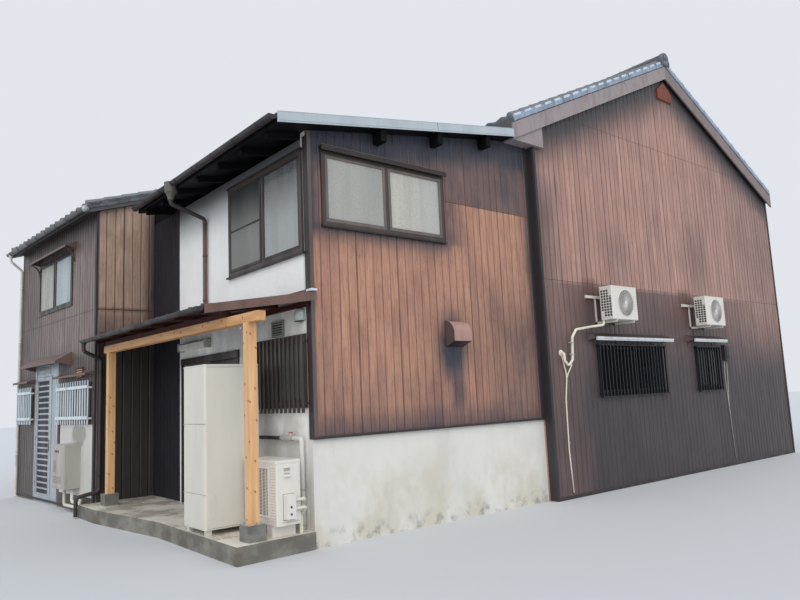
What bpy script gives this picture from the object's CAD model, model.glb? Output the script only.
# Looks of the two storey townhouse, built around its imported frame, in metres.
import math

import bpy
import numpy as np
from mathutils import Matrix, Vector


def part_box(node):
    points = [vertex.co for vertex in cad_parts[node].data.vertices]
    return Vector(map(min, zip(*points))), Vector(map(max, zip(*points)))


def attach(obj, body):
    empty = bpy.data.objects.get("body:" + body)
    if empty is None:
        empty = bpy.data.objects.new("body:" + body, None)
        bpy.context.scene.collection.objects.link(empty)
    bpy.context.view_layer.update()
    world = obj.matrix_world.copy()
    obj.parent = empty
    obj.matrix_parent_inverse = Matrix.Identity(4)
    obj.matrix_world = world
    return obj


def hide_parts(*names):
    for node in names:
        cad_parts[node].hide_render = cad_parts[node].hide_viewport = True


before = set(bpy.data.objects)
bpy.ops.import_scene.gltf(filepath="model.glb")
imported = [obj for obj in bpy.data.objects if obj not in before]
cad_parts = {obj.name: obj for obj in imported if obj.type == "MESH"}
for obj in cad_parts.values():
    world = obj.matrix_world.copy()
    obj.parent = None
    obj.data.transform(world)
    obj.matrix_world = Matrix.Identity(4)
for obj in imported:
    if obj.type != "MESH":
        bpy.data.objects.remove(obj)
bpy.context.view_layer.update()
houseBody = "house"
doorBody = "rear_door"
print("frame loaded:", len(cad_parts), "nodes")

# The house's own plan starts at the near corner of the plastered wing; z is above the ground.
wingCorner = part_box("wing_siding")[0]
planShift = np.array([wingCorner.x, wingCorner.y, 0.0])
upAxis = np.array([0.0, 0.0, 1.0])
roofSlope = {"skew": 4.0, "rearCorner": (-0.93, 4.9)}


def nodePoints(node):
    # the vertices of a node as an array, in the house's own plan
    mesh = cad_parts[node].data
    points = np.zeros(len(mesh.vertices) * 3, np.float32)
    mesh.vertices.foreach_get("co", points)
    return points.reshape(-1, 3).astype(float) - planShift


def wallFrame(origin, along, out):
    # an upright wall: a point is origin + along * a + up * z + out * o
    return {"origin": np.array(origin, float), "along": np.array(along, float),
        "out": np.array(out, float)}


gableFace = nodePoints("gable_wall")[:, 1].min()
backFace = nodePoints("back_wall")[:, 1].max()
mainLeft = nodePoints("gable_wall")[:, 0].min()
mainRight = nodePoints("gable_wall")[:, 0].max()
skewAngle = math.radians(roofSlope["skew"])
rearAlong = (-math.sin(skewAngle), math.cos(skewAngle), 0)
rearOut = (-math.cos(skewAngle), -math.sin(skewAngle), 0)
rearOrigin = (*roofSlope["rearCorner"], 0)
walls = {
    "street": wallFrame((0, 0, 0), (1, 0, 0), (0, -1, 0)),
    "gable": wallFrame((0, gableFace, 0), (1, 0, 0), (0, -1, 0)),
    "plaster": wallFrame((0, 0, 0), (0, 1, 0), (-1, 0, 0)),
    "rear": wallFrame(rearOrigin, rearAlong, rearOut),
    "rearSide": wallFrame((0, roofSlope["rearCorner"][1], 0), (1, 0, 0), (0, -1, 0)),
    "back": wallFrame((0, backFace, 0), (1, 0, 0), (0, 1, 0)),
}


# Node groups and materials

def tone(red, green, blue):
    # display value / 255, then linear: ((c + 0.055) / 1.055) to the power 2.4, or c / 12.92 if dark
    c = np.array([red, green, blue]) / 255
    linear = np.where(c <= 0.04045, c / 12.92, ((c + 0.055) / 1.055) ** 2.4)
    return (*[float(x) for x in linear], 1.0)


def addNode(tree, kind, inputs=None, **settings):
    # a node with its settings; each input is linked to a socket or takes a value
    node = tree.nodes.new(kind)
    for key, value in settings.items():
        setattr(node, key, value)
    for key, value in (inputs or {}).items():
        if isinstance(value, bpy.types.NodeSocket):
            tree.links.new(value, node.inputs[key])
        else:
            node.inputs[key].default_value = value
    return node


def newGroup(name, inputs, outputs):
    # a shader node group with its sockets: (name, type, default)
    group = bpy.data.node_groups.new(name, "ShaderNodeTree")
    for label, kind, default in inputs:
        socket = group.interface.new_socket(label, in_out="INPUT", socket_type=kind)
        if default is not None:
            socket.default_value = default
    for label, kind in outputs:
        group.interface.new_socket(label, in_out="OUTPUT", socket_type=kind)
    return group, group.nodes.new("NodeGroupInput"), group.nodes.new("NodeGroupOutput")


def makeStreakGroup():
    # mask = noise of the point times (scale, scale, scale / stretch), stepped from low to high
    group, given, result = newGroup("streakMask", [
        ("Vector", "NodeSocketVector", None), ("Scale", "NodeSocketFloat", 8.0),
        ("Stretch", "NodeSocketFloat", 10.0), ("Low", "NodeSocketFloat", 0.4),
        ("High", "NodeSocketFloat", 0.7)], [("Mask", "NodeSocketFloat")])
    tall = addNode(group, "ShaderNodeMath", {0: given.outputs["Scale"], 1: given.outputs["Stretch"]},
        operation="DIVIDE")
    size = addNode(group, "ShaderNodeCombineXYZ", {0: given.outputs["Scale"],
            1: given.outputs["Scale"], 2: tall.outputs[0]})
    point = addNode(group, "ShaderNodeVectorMath", {0: given.outputs["Vector"],
            1: size.outputs[0]}, operation="MULTIPLY")
    noise = addNode(group, "ShaderNodeTexNoise", {"Vector": point.outputs[0], "Scale": 1.0,
            "Detail": 4.0, "Roughness": 0.6})
    step = addNode(group, "ShaderNodeMapRange", {"Value": noise.outputs["Fac"],
            "From Min": given.outputs["Low"], "From Max": given.outputs["High"]},
        interpolation_type="SMOOTHSTEP")
    group.links.new(step.outputs["Result"], result.inputs["Mask"])
    return group


def makeBandGroup():
    # mask = smooth step of the point's height from low to high
    group, given, result = newGroup("heightBand", [
        ("Vector", "NodeSocketVector", None), ("Low", "NodeSocketFloat", 0.0),
        ("High", "NodeSocketFloat", 1.0)], [("Mask", "NodeSocketFloat")])
    split = addNode(group, "ShaderNodeSeparateXYZ", {0: given.outputs["Vector"]})
    step = addNode(group, "ShaderNodeMapRange", {"Value": split.outputs[2],
            "From Min": given.outputs["Low"], "From Max": given.outputs["High"]},
        interpolation_type="SMOOTHSTEP")
    group.links.new(step.outputs["Result"], result.inputs["Mask"])
    return group


streakGroup = makeStreakGroup()
bandGroup = makeBandGroup()


class Surface:
    # one material being built: its tree, its Principled shader and the object's own coordinates
    def __init__(self, name, roughness=0.6, metallic=0.0):
        self.material = bpy.data.materials.new(name)
        self.material.use_nodes = True
        self.tree = self.material.node_tree
        self.shader = self.tree.nodes["Principled BSDF"]
        self.shader.inputs["Roughness"].default_value = roughness
        self.shader.inputs["Metallic"].default_value = metallic
        self.point = self.add("ShaderNodeTexCoord").outputs["Object"]
        self.height = None

    def add(self, kind, inputs=None, **settings):
        # a node in this material's own tree
        return addNode(self.tree, kind, inputs, **settings)

    def streak(self, scale, stretch=1.0, low=0.4, high=0.7):
        # the streak group's mask at the object's own coordinates
        return self.add("ShaderNodeGroup", {"Vector": self.point, "Scale": scale,
                "Stretch": stretch, "Low": low, "High": high}, node_tree=streakGroup).outputs[0]

    def band(self, low, high):
        # the height group's mask: 0 at the height low, 1 at high
        return self.add("ShaderNodeGroup", {"Vector": self.point, "Low": low, "High": high},
            node_tree=bandGroup).outputs[0]

    def attribute(self, name):
        # a value stored at the mesh's points
        return self.add("ShaderNodeAttribute", attribute_name=name).outputs["Fac"]

    def step(self, axis, low, high):
        # smooth step of the point along X, Y or Z of the plan, or of the face's direction, nX to nZ
        number = "XYZ".index(axis[-1])
        shift = 0.0 if axis[0] == "n" else planShift[number]
        place = self.add("ShaderNodeTexCoord").outputs["Normal" if axis[0] == "n" else "Object"]
        split = self.add("ShaderNodeSeparateXYZ", {0: place})
        return self.add("ShaderNodeMapRange", {"Value": split.outputs[number],
                "From Min": low + shift, "From Max": high + shift},
            interpolation_type="SMOOTHSTEP").outputs["Result"]

    def layers(self, base, rows):
        # each colour lies over the base, by its share, where all its steps are high
        for steps, colour, share in rows:
            mask = share
            for step in steps:
                mask = self.times(mask, self.step(*step))
            base = self.mix(mask, base, tone(*colour))
        return base

    def times(self, first, second):
        # first * second
        return self.add("ShaderNodeMath", {0: first, 1: second}, operation="MULTIPLY").outputs[0]

    def mix(self, mask, first, second, blend="MIX"):
        # first + mask * (second - first), or another blend of the two
        node = self.add("ShaderNodeMix", {0: mask, 6: first, 7: second}, data_type="RGBA",
            blend_type=blend)
        return node.outputs[2]

    def colour(self, value):
        # the shader's base colour
        self.tree.links.new(value, self.shader.inputs["Base Color"])

    def rough(self, mask, low, high):
        # roughness = low + mask * (high - low)
        scaled = self.add("ShaderNodeMapRange", {"Value": mask, "To Min": low, "To Max": high})
        self.tree.links.new(scaled.outputs["Result"], self.shader.inputs["Roughness"])

    def bump(self, height, distance, strength=0.6):
        # relief on top of the relief given before
        inputs = {"Height": height, "Distance": distance, "Strength": strength}
        if self.height is not None:
            inputs["Normal"] = self.height
        node = self.add("ShaderNodeBump", inputs)
        self.height = node.outputs[0]
        self.tree.links.new(self.height, self.shader.inputs["Normal"])


def ribbedSteel(name, values):
    # printed timber sheet: upright grain and flecks, a tint for each rib, dark grooves, soot, rust
    s = Surface(name, values["rough"])
    blotch = s.streak(values["broad"], 2.0, 0.42, 0.72)
    grain = s.streak(62, 34, 0.4, 0.64)
    base = s.mix(s.times(blotch, 0.6), tone(*values["light"]), tone(*values["dark"]))
    base = s.mix(s.times(grain, 0.6), base, tone(*values["grain"]))
    base = s.mix(s.times(s.attribute("ribTint"), 0.35), base, tone(*values["grain"]))
    base = s.mix(s.times(s.streak(58, 5, 0.58, 0.7), 0.5), base, tone(*values["scratch"]))
    base = s.mix(s.times(s.streak(74, 40, 0.56, 0.7), 0.45), base, tone(*values["pale"]))
    edge = s.add("ShaderNodeMath", {0: s.attribute("soot"), 1: s.times(blotch, values["cloud"])},
        operation="ADD").outputs[0]
    base = s.mix(edge, base, tone(*values["soot"]))
    base = s.mix(s.attribute("rust"), base, tone(96, 62, 50))
    line = s.add("ShaderNodeMath", {0: s.attribute("groove"), 1: 0.5}, operation="POWER").outputs[0]
    base = s.mix(s.times(line, values["line"]), base, tone(*values["groove"]))
    s.colour(base)
    s.rough(grain, values["rough"] - 0.12, values["rough"] + 0.12)
    s.bump(grain, 0.002, 0.35)
    return s.material


def plasterSkin(name, values):
    # trowelled lime plaster: pale, with a damp warm band low down and dark growth near the ground
    s = Surface(name, 0.85)
    patch = s.streak(1.6, 1.5, 0.42, 0.72)
    speck = s.streak(26, 1, 0.6, 0.8)
    base = s.mix(s.times(patch, 0.5), tone(*values["light"]), tone(*values["grey"]))
    damp = s.times(s.streak(2.3, 1.6, 0.36, 0.62), s.band(values["dampTop"], values["dampFoot"]))
    base = s.mix(damp, base, tone(*values["damp"]))
    growth = s.times(s.streak(7, 1.2, 0.46, 0.68), s.band(0.26, 0.02))
    base = s.mix(s.times(growth, 0.6), base, tone(*values["growth"]))
    base = s.mix(s.times(speck, 0.22), base, tone(*values["grey"]))
    runs = s.times(s.streak(6, 9, 0.52, 0.78), 0.25)
    base = s.mix(runs, base, tone(*values["grey"]))
    s.colour(s.layers(base, values.get("rows", ())))
    s.bump(s.streak(14, 1, 0.3, 0.8), 0.004, 0.4)
    s.bump(s.streak(120, 1, 0.3, 0.8), 0.001, 0.5)
    return s.material


def concreteSkin(name, values):
    # grey concrete with brown stains and pores; a level face is paler, wet and glossy
    s = Surface(name, 0.7)
    cloud = s.streak(3.5, 0.8, 0.35, 0.68)
    pores = s.streak(60, 1, 0.62, 0.74)
    level = s.step("nZ", 0.5, 0.9)
    base = s.mix(cloud, tone(*values["dark"]), tone(*values["light"]))
    base = s.mix(s.times(s.streak(1.7, 0.6, 0.5, 0.62), 0.7), base, tone(*values["wet"]))
    top = s.mix(s.streak(1.9, 1.0, 0.4, 0.62), tone(*values["top"]), tone(*values["puddle"]))
    base = s.mix(level, base, top)
    base = s.mix(s.times(pores, 0.5), base, tone(*values["pore"]))
    s.colour(base)
    dry = s.add("ShaderNodeMath", {0: 1.0, 1: s.times(level, s.streak(1.9, 1.0, 0.3, 0.6))},
        operation="SUBTRACT").outputs[0]
    s.rough(dry, 0.18, 0.8)
    s.bump(s.streak(40, 1, 0.3, 0.75), 0.003, 0.4)
    return s.material


def timberSkin(name, light, dark, knot, strength, rough, axis):
    # planed wood: grain bands squeezed along the piece; knots are cells of (x + y, z + 0.6 x)
    s = Surface(name, rough)
    stretch = {"x": (0.9, 14, 14), "y": (14, 0.9, 14), "z": (14, 14, 0.9)}[axis]
    point = s.add("ShaderNodeVectorMath", {0: s.point, 1: stretch}, operation="MULTIPLY")
    wander = s.add("ShaderNodeTexNoise", {"Vector": point.outputs[0], "Scale": 1.6, "Detail": 5.0})
    rings = s.add("ShaderNodeMapRange", {"Value": wander.outputs["Fac"], "From Min": 0.35,
            "From Max": 0.66})
    base = s.mix(rings.outputs["Result"], tone(*light), tone(*dark))
    fine = s.add("ShaderNodeTexNoise", {"Vector": point.outputs[0], "Scale": 9.0, "Detail": 3.0})
    base = s.mix(s.times(fine.outputs["Fac"], 0.35), base, tone(*dark))
    split = s.add("ShaderNodeSeparateXYZ", {0: s.point})
    side = s.add("ShaderNodeMath", {0: split.outputs[0], 1: split.outputs[1]}, operation="ADD")
    lift = s.add("ShaderNodeMath", {0: split.outputs[0], 1: 0.6, 2: split.outputs[2]},
        operation="MULTIPLY_ADD")
    flat = s.add("ShaderNodeCombineXYZ", {0: side.outputs[0], 1: lift.outputs[0]})
    knots = s.add("ShaderNodeTexVoronoi", {"Vector": flat.outputs[0], "Scale": 5.0},
        voronoi_dimensions="2D")
    spots = s.add("ShaderNodeMapRange", {"Value": knots.outputs["Distance"], "From Min": 0.085,
            "From Max": 0.04}, interpolation_type="SMOOTHSTEP")
    s.colour(s.mix(s.times(spots.outputs["Result"], strength), base, tone(*knot)))
    s.bump(rings.outputs["Result"], 0.0015, 0.4)
    return s.material


def paintedSkin(name, light, dark, rough, metal=0.0, dirt=0.2, grime=(70, 64, 58)):
    # a painted or moulded face: faint cloud, dust from above and fine orange peel
    s = Surface(name, rough, metal)
    cloud = s.streak(4.0, 3.0, 0.34, 0.7)
    base = s.mix(s.times(cloud, 0.6), tone(*light), tone(*dark))
    base = s.mix(s.times(s.streak(18, 6, 0.55, 0.78), dirt), base, tone(*grime))
    s.colour(base)
    s.rough(cloud, max(0.05, rough - 0.1), rough + 0.1)
    s.bump(s.streak(160, 1, 0.3, 0.8), 0.0006, 0.35)
    return s.material


def tileSkin(name, values):
    # fired clay: a tint for each tile, wet sheen and lichen specks
    s = Surface(name, 0.35)
    cloud = s.streak(5, 1, 0.35, 0.7)
    base = s.mix(s.attribute("tileTint"), tone(*values["dark"]), tone(*values["light"]))
    base = s.mix(s.times(cloud, 0.5), base, tone(*values["pale"]))
    base = s.mix(s.times(s.streak(34, 1, 0.6, 0.72), 0.4), base, tone(*values["lichen"]))
    s.colour(base)
    s.rough(cloud, 0.22, 0.6)
    s.bump(s.streak(90, 1, 0.3, 0.8), 0.001, 0.5)
    return s.material


def frostedPane(name, values):
    # pebbled glass over drawn curtains: faint upright folds, and colours laid by place
    s = Surface(name, 0.2)
    folds = s.streak(values["folds"], 12, 0.3, 0.72)
    fine = s.streak(85, 1.2, 0.42, 0.66)
    base = s.layers(tone(*values["light"]), values.get("rows", ()))
    base = s.mix(s.times(folds, values["change"]), base, tone(*values["dark"]))
    s.colour(s.mix(s.times(fine, 0.3), base, tone(*values["dark"])))
    s.shader.inputs["Coat Weight"].default_value = 0.3
    s.bump(fine, 0.003, 0.5)
    return s.material


def darkPane(name, values):
    # clear glass before a dark room: near black with faint pale shapes and a hard gloss
    s = Surface(name, 0.06)
    inside = s.streak(values["shapes"], 6, 0.45, 0.72)
    s.colour(s.mix(inside, tone(*values["dark"]), tone(*values["light"])))
    s.shader.inputs["Specular IOR Level"].default_value = 0.6
    return s.material


def splitSkin(name, base, rows, rough=0.5, dirt=0.3):
    # several paints on one node, parted by steps of the point or of the face's direction
    s = Surface(name, rough)
    base = s.layers(tone(*base), rows)
    base = s.mix(s.times(s.streak(9, 3, 0.42, 0.7), dirt), base, tone(76, 62, 56))
    s.colour(base)
    s.bump(s.streak(90, 1, 0.3, 0.8), 0.001, 0.4)
    return s.material


def stainedSkin(name):
    # a white board with grey soot where the "stain" attribute rises, its edge broken by noise
    s = Surface(name, 0.6)
    cloud = s.streak(5, 2, 0.35, 0.7)
    base = s.mix(s.times(cloud, 0.4), tone(206, 204, 198), tone(184, 182, 176))
    rough = s.add("ShaderNodeMath", {0: s.attribute("stain"), 1: s.times(s.streak(12, 1), 0.16)},
        operation="SUBTRACT").outputs[0]
    mask = s.add("ShaderNodeMapRange", {"Value": rough, "From Min": 0.05, "From Max": 0.75},
        interpolation_type="SMOOTHSTEP").outputs["Result"]
    s.colour(s.mix(s.times(mask, 0.7), base, tone(134, 132, 122)))
    s.bump(s.streak(90, 1, 0.3, 0.8), 0.0008, 0.4)
    return s.material


def meshScreen(name, values):
    # woven screen: fine bands of a sine wave up the point, with cloudy patches
    s = Surface(name, 0.8)
    wave = s.add("ShaderNodeTexWave", {"Vector": s.point, "Scale": 60.0}, wave_type="BANDS",
        bands_direction="Z")
    base = s.mix(s.times(wave.outputs["Fac"], 0.4), tone(*values["light"]), tone(*values["dark"]))
    base = s.mix(s.streak(2.2, 5, 0.4, 0.7), base, tone(*values["cloud"]))
    s.colour(s.layers(base, values["rows"]))
    return s.material


steelParts = ("light", "dark", "grain", "scratch", "pale", "groove", "soot", "broad", "rough",
    "cloud", "line")
# printed sheets: seven colours, then patch size, roughness, cloud and line shares
steelTones = {
    "wingSteel": ((196, 146, 120), (168, 120, 98), (144, 102, 84), (104, 74, 62), (220, 174, 146),
        (66, 44, 38), (52, 55, 67), 3.4, 0.55, 0.14, 0.8),
    "gableSteel": ((190, 148, 134), (164, 126, 114), (136, 100, 90), (96, 72, 68), (206, 168, 154),
        (64, 46, 46), (60, 54, 57), 1.6, 0.5, 0.07, 0.95),
    "rearSteel": ((140, 122, 116), (114, 98, 93), (88, 74, 69), (66, 58, 56), (158, 143, 138),
        (34, 31, 34), (54, 44, 43), 3.0, 0.5, 0.1, 0.95),
    "sideBoards": ((188, 158, 140), (166, 136, 118), (140, 112, 96), (106, 84, 74), (204, 178, 160),
        (58, 46, 42), (56, 48, 48), 4.0, 0.55, 0.1, 1.0),
    "darkBoards": ((92, 79, 75), (74, 63, 60), (58, 50, 48), (42, 37, 36), (98, 88, 84),
        (24, 22, 23), (46, 41, 42), 4.0, 0.5, 0.1, 1.0),
    "nookSteel": ((60, 59, 65), (50, 49, 55), (42, 41, 47), (38, 37, 42), (70, 68, 73),
        (30, 29, 34), (36, 36, 42), 4.0, 0.6, 0.1, 0.45),
}
# plain paints: light and dark display values, roughness, metal, share of dirt and its colour
paints = {
    "roofSteel": ((188, 197, 201), (168, 178, 184), 0.38, 0.15, 0.1),
    "brownSteel": ((104, 76, 68), (82, 60, 54), 0.4, 0.2, 0.3, (120, 108, 104)),
    "darkTrim": ((52, 46, 48), (36, 33, 35), 0.5),
    "cornerTrim": ((104, 88, 82), (80, 68, 64), 0.5, 0.1, 0.3),
    "bronzeFrame": ((56, 48, 44), (42, 36, 33), 0.4, 0.3),
    "frameBronze": ((76, 67, 62), (60, 52, 48), 0.42, 0.2),
    "sashBronze": ((118, 106, 98), (94, 84, 78), 0.42, 0.3),
    "blackBars": ((28, 29, 36), (18, 19, 25), 0.45, 0.2, 0.15),
    "silverFrame": ((186, 192, 198), (160, 166, 172), 0.4, 0.4),
    "guardWhite": ((218, 226, 232), (188, 198, 206), 0.45, 0.0, 0.3),
    "gutterBrown": ((50, 43, 44), (36, 32, 34), 0.5, 0.0, 0.15),
    "pipeBrown": ((104, 76, 68), (84, 60, 54), 0.45),
    "pipeDark": ((54, 47, 47), (40, 36, 37), 0.5),
    "gutterGrey": ((92, 91, 87), (70, 69, 66), 0.4, 0.0, 0.3),
    "creamCase": ((225, 220, 211), (218, 213, 204), 0.42, 0.0, 0.04),
    "tankCase": ((218, 213, 201), (210, 205, 194), 0.42, 0.0, 0.05),
    "seamGrey": ((160, 156, 149), (142, 138, 132), 0.5, 0.0, 0.1),
    "greyCase": ((176, 172, 164), (160, 156, 148), 0.45, 0.0, 0.14),
    "whitePlastic": ((226, 224, 216), (204, 202, 194), 0.5),
    "fanWire": ((206, 204, 196), (186, 184, 178), 0.5, 0.0, 0.1),
    "darkInside": ((38, 38, 42), (27, 27, 30), 0.7, 0.0, 0.1),
    "doorDark": ((14, 18, 27), (9, 12, 19), 0.5, 0.0, 0.1),
    "hoodGalvanised": ((190, 195, 193), (166, 172, 170), 0.45, 0.1, 0.25),
    "hopperGrey": ((106, 104, 96), (80, 79, 73), 0.6, 0.0, 0.35),
    "rustSteel": ((98, 68, 58), (74, 52, 46), 0.7, 0.0, 0.5, (128, 82, 58)),
    "ventRed": ((130, 66, 48), (100, 52, 40), 0.6, 0.0, 0.4),
    "wellGrey": ((112, 111, 107), (92, 91, 88), 0.6, 0.0, 0.1),
    "slotDark": ((50, 50, 52), (38, 38, 40), 0.6, 0.0, 0.1),
    "ventDark": ((120, 116, 108), (102, 98, 92), 0.6, 0.0, 0.1),
    "ventGreen": ((140, 145, 135), (118, 124, 116), 0.5, 0.0, 0.25),
    "redPaint": ((186, 70, 62), (160, 54, 48), 0.4),
    "brassSlat": ((204, 176, 132), (172, 144, 102), 0.5, 0.0, 0.3),
    "wetTile": ((206, 216, 228), (176, 188, 202), 0.3, 0.0, 0.2),
    "creamPipe": ((232, 226, 208), (214, 206, 186), 0.5, 0.0, 0.15),
}
# timber: light and dark grain, knot colour and strength, roughness and the way the grain runs
timbers = {
    "floorTimber": ((170, 136, 100), (138, 104, 72), (80, 54, 36), 0.5, 0.5, "y"),
    "newTimberPost": ((234, 190, 140), (212, 160, 108), (132, 66, 38), 0.8, 0.55, "z"),
    "newTimberBeam": ((222, 172, 118), (196, 142, 90), (88, 50, 30), 0.9, 0.55, "y"),
    "redTimber": ((84, 44, 36), (60, 32, 27), (36, 20, 17), 0.4, 0.5, "x"),
    "soffitBoards": ((22, 20, 23), (14, 14, 17), (10, 9, 11), 0.3, 0.8, "x"),
}
# paints parted by steps: base colour, rows of steps with colour and share, roughness and dirt
splitPaints = {
    "hoodPaint": ((214, 216, 214), (
        ((("nZ", 0.3, 0.6),), (60, 48, 46), 1.0), ((("nZ", -0.3, -0.6),), (70, 68, 72), 1.0),
        ((("nX", -0.4, -0.7),), (104, 93, 90), 1.0), ((("X", -0.3, -0.5),), (106, 84, 77), 1.0),
        ((("X", -0.3, -0.5), ("nZ", -0.3, -0.6)), (52, 44, 43), 1.0))),
    "exhaustPaint": ((92, 79, 75), (
        ((("nY", -0.2, -0.5),), (172, 136, 124), 1.0),
        ((("nZ", -0.4, -0.7),), (40, 38, 44), 1.0)), 0.35),
    "downpipePaint": ((108, 80, 71), (
        ((("Z", 4.0, 4.25),), (54, 48, 46), 1.0),
        ((("Y", 3.9, 4.1),), (54, 47, 47), 1.0), ((("Y", 5.4, 5.6),), (216, 212, 202), 1.0))),
    "ventPaint": ((176, 180, 176), (
        ((("Y", 0.45, 0.5),), (136, 141, 132), 1.0), ((("Z", 6.4, 6.6),), (126, 64, 47), 1.0))),
    "wingRoofPaint": ((15, 15, 19), (
        ((("nZ", 0.3, 0.4),), (160, 173, 183), 1.0),), 0.5, 0.06),
    "bargePaint": ((154, 142, 142), (
        ((("X", 8.1, 8.2),), (132, 118, 116), 1.0),), 0.55, 0.25),
    "porchRoofPaint": ((60, 38, 34), (
        ((("nZ", 0.3, 0.4),), (98, 73, 66), 1.0),)),
    "roofBoards": ((50, 44, 45), (
        ((("nZ", -0.3, 0.0),), (84, 84, 88), 1.0),), 0.7),
}
plasters = {
    "whitePlaster": {
        "light": (226, 223, 215), "grey": (200, 199, 193), "damp": (208, 201, 186),
        "growth": (96, 96, 90), "dampTop": 1.15, "dampFoot": 0.35},
    "sidePlaster": {
        "light": (248, 247, 244), "grey": (232, 231, 227), "damp": (218, 216, 210),
        "growth": (96, 96, 90), "dampTop": 3.1, "dampFoot": 2.6, "rows": (
            ((("Z", 3.95, 4.75),), (56, 58, 62), 0.85), ((("Z", 4.4, 4.72),), (30, 32, 38), 0.6))},
    "partyRender": {
        "light": (176, 172, 166), "grey": (150, 147, 142), "damp": (150, 142, 128),
        "growth": (84, 82, 76), "dampTop": 1.0, "dampFoot": 0.3},
}
concretes = {
    "slabConcrete": {
        "light": (140, 137, 127), "dark": (108, 105, 97), "wet": (100, 92, 80),
        "pore": (78, 76, 71), "top": (222, 214, 202), "puddle": (204, 195, 180)},
    "blockConcrete": {
        "light": (130, 128, 122), "dark": (102, 100, 95), "wet": (110, 108, 101),
        "pore": (84, 85, 84), "top": (166, 168, 168), "puddle": (150, 152, 152)},
}
tiles = {
    "roofTile": {
        "light": (104, 108, 114), "dark": (68, 71, 76), "pale": (128, 134, 140),
        "lichen": (140, 144, 142)},
    "vergeTile": {
        "light": (156, 170, 186), "dark": (118, 132, 148), "pale": (186, 200, 216),
        "lichen": (110, 118, 122)},
}
frostedPanes = {
    "wingPanes": {
        "light": (174, 172, 165), "dark": (135, 136, 133), "folds": 3.0, "change": 0.5, "rows": (
            ((("X", 1.16, 1.2),), (190, 188, 183), 1.0),
            ((("X", 1.2, 1.35), ("X", 1.95, 1.4)), (212, 204, 178), 0.4),
            ((("Y", 0.03, 0.05),), (170, 170, 168), 1.0),
            ((("Y", 0.03, 0.05), ("Z", 3.7, 4.5)), (46, 50, 56), 0.92),
            ((("Y", 0.03, 0.05), ("Z", 3.0, 2.7)), (88, 90, 92), 1.0))},
    "frostedSide": {
        "light": (140, 146, 145), "dark": (104, 111, 110), "folds": 5.0, "change": 0.8},
    "curtainPane": {
        "light": (176, 172, 164), "dark": (122, 117, 110), "folds": 9.0, "change": 0.9},
    "tealPane": {
        "light": (172, 188, 187), "dark": (116, 134, 136), "folds": 2.0, "change": 0.8},
}
screens = {
    "insectNet": {
        "light": (140, 141, 136), "dark": (108, 109, 106), "cloud": (158, 158, 150),
        "rows": (((("Z", 3.7, 4.5),), (32, 34, 38), 0.92),)},
}
darkPanes = {
    "darkGlass": {"dark": (16, 18, 22), "light": (58, 60, 60), "shapes": 2.0},
    "curtainGlass": {"dark": (96, 104, 100), "light": (176, 186, 182), "shapes": 5.0},
}
finishes = {"stainedPanel": stainedSkin("stainedPanel")}
for maker, table in ((plasterSkin, plasters), (concreteSkin, concretes), (tileSkin, tiles),
        (frostedPane, frostedPanes), (meshScreen, screens), (darkPane, darkPanes)):
    finishes.update({name: maker(name, values) for name, values in table.items()})
finishes.update({name: splitSkin(name, *values) for name, values in splitPaints.items()})
finishes.update({name: ribbedSteel(name, dict(zip(steelParts, values)))
        for name, values in steelTones.items()})
finishes.update({name: paintedSkin(name, *values) for name, values in paints.items()})
finishes.update({name: timberSkin(name, *values) for name, values in timbers.items()})
for name in ("soffitBoards", "nookSteel", "wingRoofPaint", "insectNet", "redTimber"):
    shader = finishes[name].node_tree.nodes["Principled BSDF"]
    shader.inputs["Specular IOR Level"].default_value = 0.12
print("materials:", len(finishes))


# Mesh helpers

def linkPiece(mesh, finish, body, attributes):
    # the mesh takes its point values and its finish, and its object rides a body
    for label, values in (attributes or {}).items():
        layer = mesh.attributes.new(label, "FLOAT", "POINT")
        layer.data.foreach_set("value", np.asarray(values, np.float32).ravel())
    mesh.materials.append(finishes[finish])
    piece = bpy.data.objects.new(mesh.name, mesh)
    bpy.context.scene.collection.objects.link(piece)
    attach(piece, body)
    return piece


def makePiece(name, points, faces, finish, smooth=False, body=houseBody, attributes=None):
    # one mesh piece from points in the house's plan; faces is an array of quads or triangles
    mesh = bpy.data.meshes.new(name)
    points = np.asarray(points, float).reshape(-1, 3) + planShift
    faces = np.asarray(faces, int)
    mesh.vertices.add(len(points))
    mesh.vertices.foreach_set("co", points.astype(np.float32).ravel())
    mesh.loops.add(faces.size)
    mesh.loops.foreach_set("vertex_index", faces.astype(np.int32).ravel())
    mesh.polygons.add(len(faces))
    mesh.polygons.foreach_set("loop_start", np.arange(0, faces.size, faces.shape[1], dtype=np.int32))
    mesh.polygons.foreach_set("use_smooth", np.full(len(faces), smooth))
    mesh.update(calc_edges=True)
    return linkPiece(mesh, finish, body, attributes)


def gridFaces(rows, columns, flip=False):
    # quads between neighbours of a rows by columns grid
    index = np.arange(rows * columns).reshape(rows, columns)
    quads = np.stack([index[:-1, :-1], index[:-1, 1:], index[1:, 1:], index[1:, :-1]], -1)
    quads = quads.reshape(-1, 4)
    return quads[:, ::-1] if flip else quads


def thicken(piece, depth):
    # a sheet gets its depth behind its faces
    solid = piece.modifiers.new("thickness", "SOLIDIFY")
    solid.thickness = depth
    solid.offset = -1
    return piece


def soften(piece, width):
    # a flat bevel along every edge sharper than 40 degrees
    bevel = piece.modifiers.new("edges", "BEVEL")
    bevel.width = width
    bevel.segments = 1
    bevel.limit_method = "ANGLE"
    bevel.angle_limit = math.radians(40)
    return piece


cubeCorners = np.array([[0, 0, 0], [1, 0, 0], [1, 1, 0], [0, 1, 0],
        [0, 0, 1], [1, 0, 1], [1, 1, 1], [0, 1, 1]], float)
cubeFaces = np.array([[0, 3, 2, 1], [4, 5, 6, 7], [0, 1, 5, 4], [2, 3, 7, 6], [1, 2, 6, 5],
        [3, 0, 4, 7]])


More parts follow.
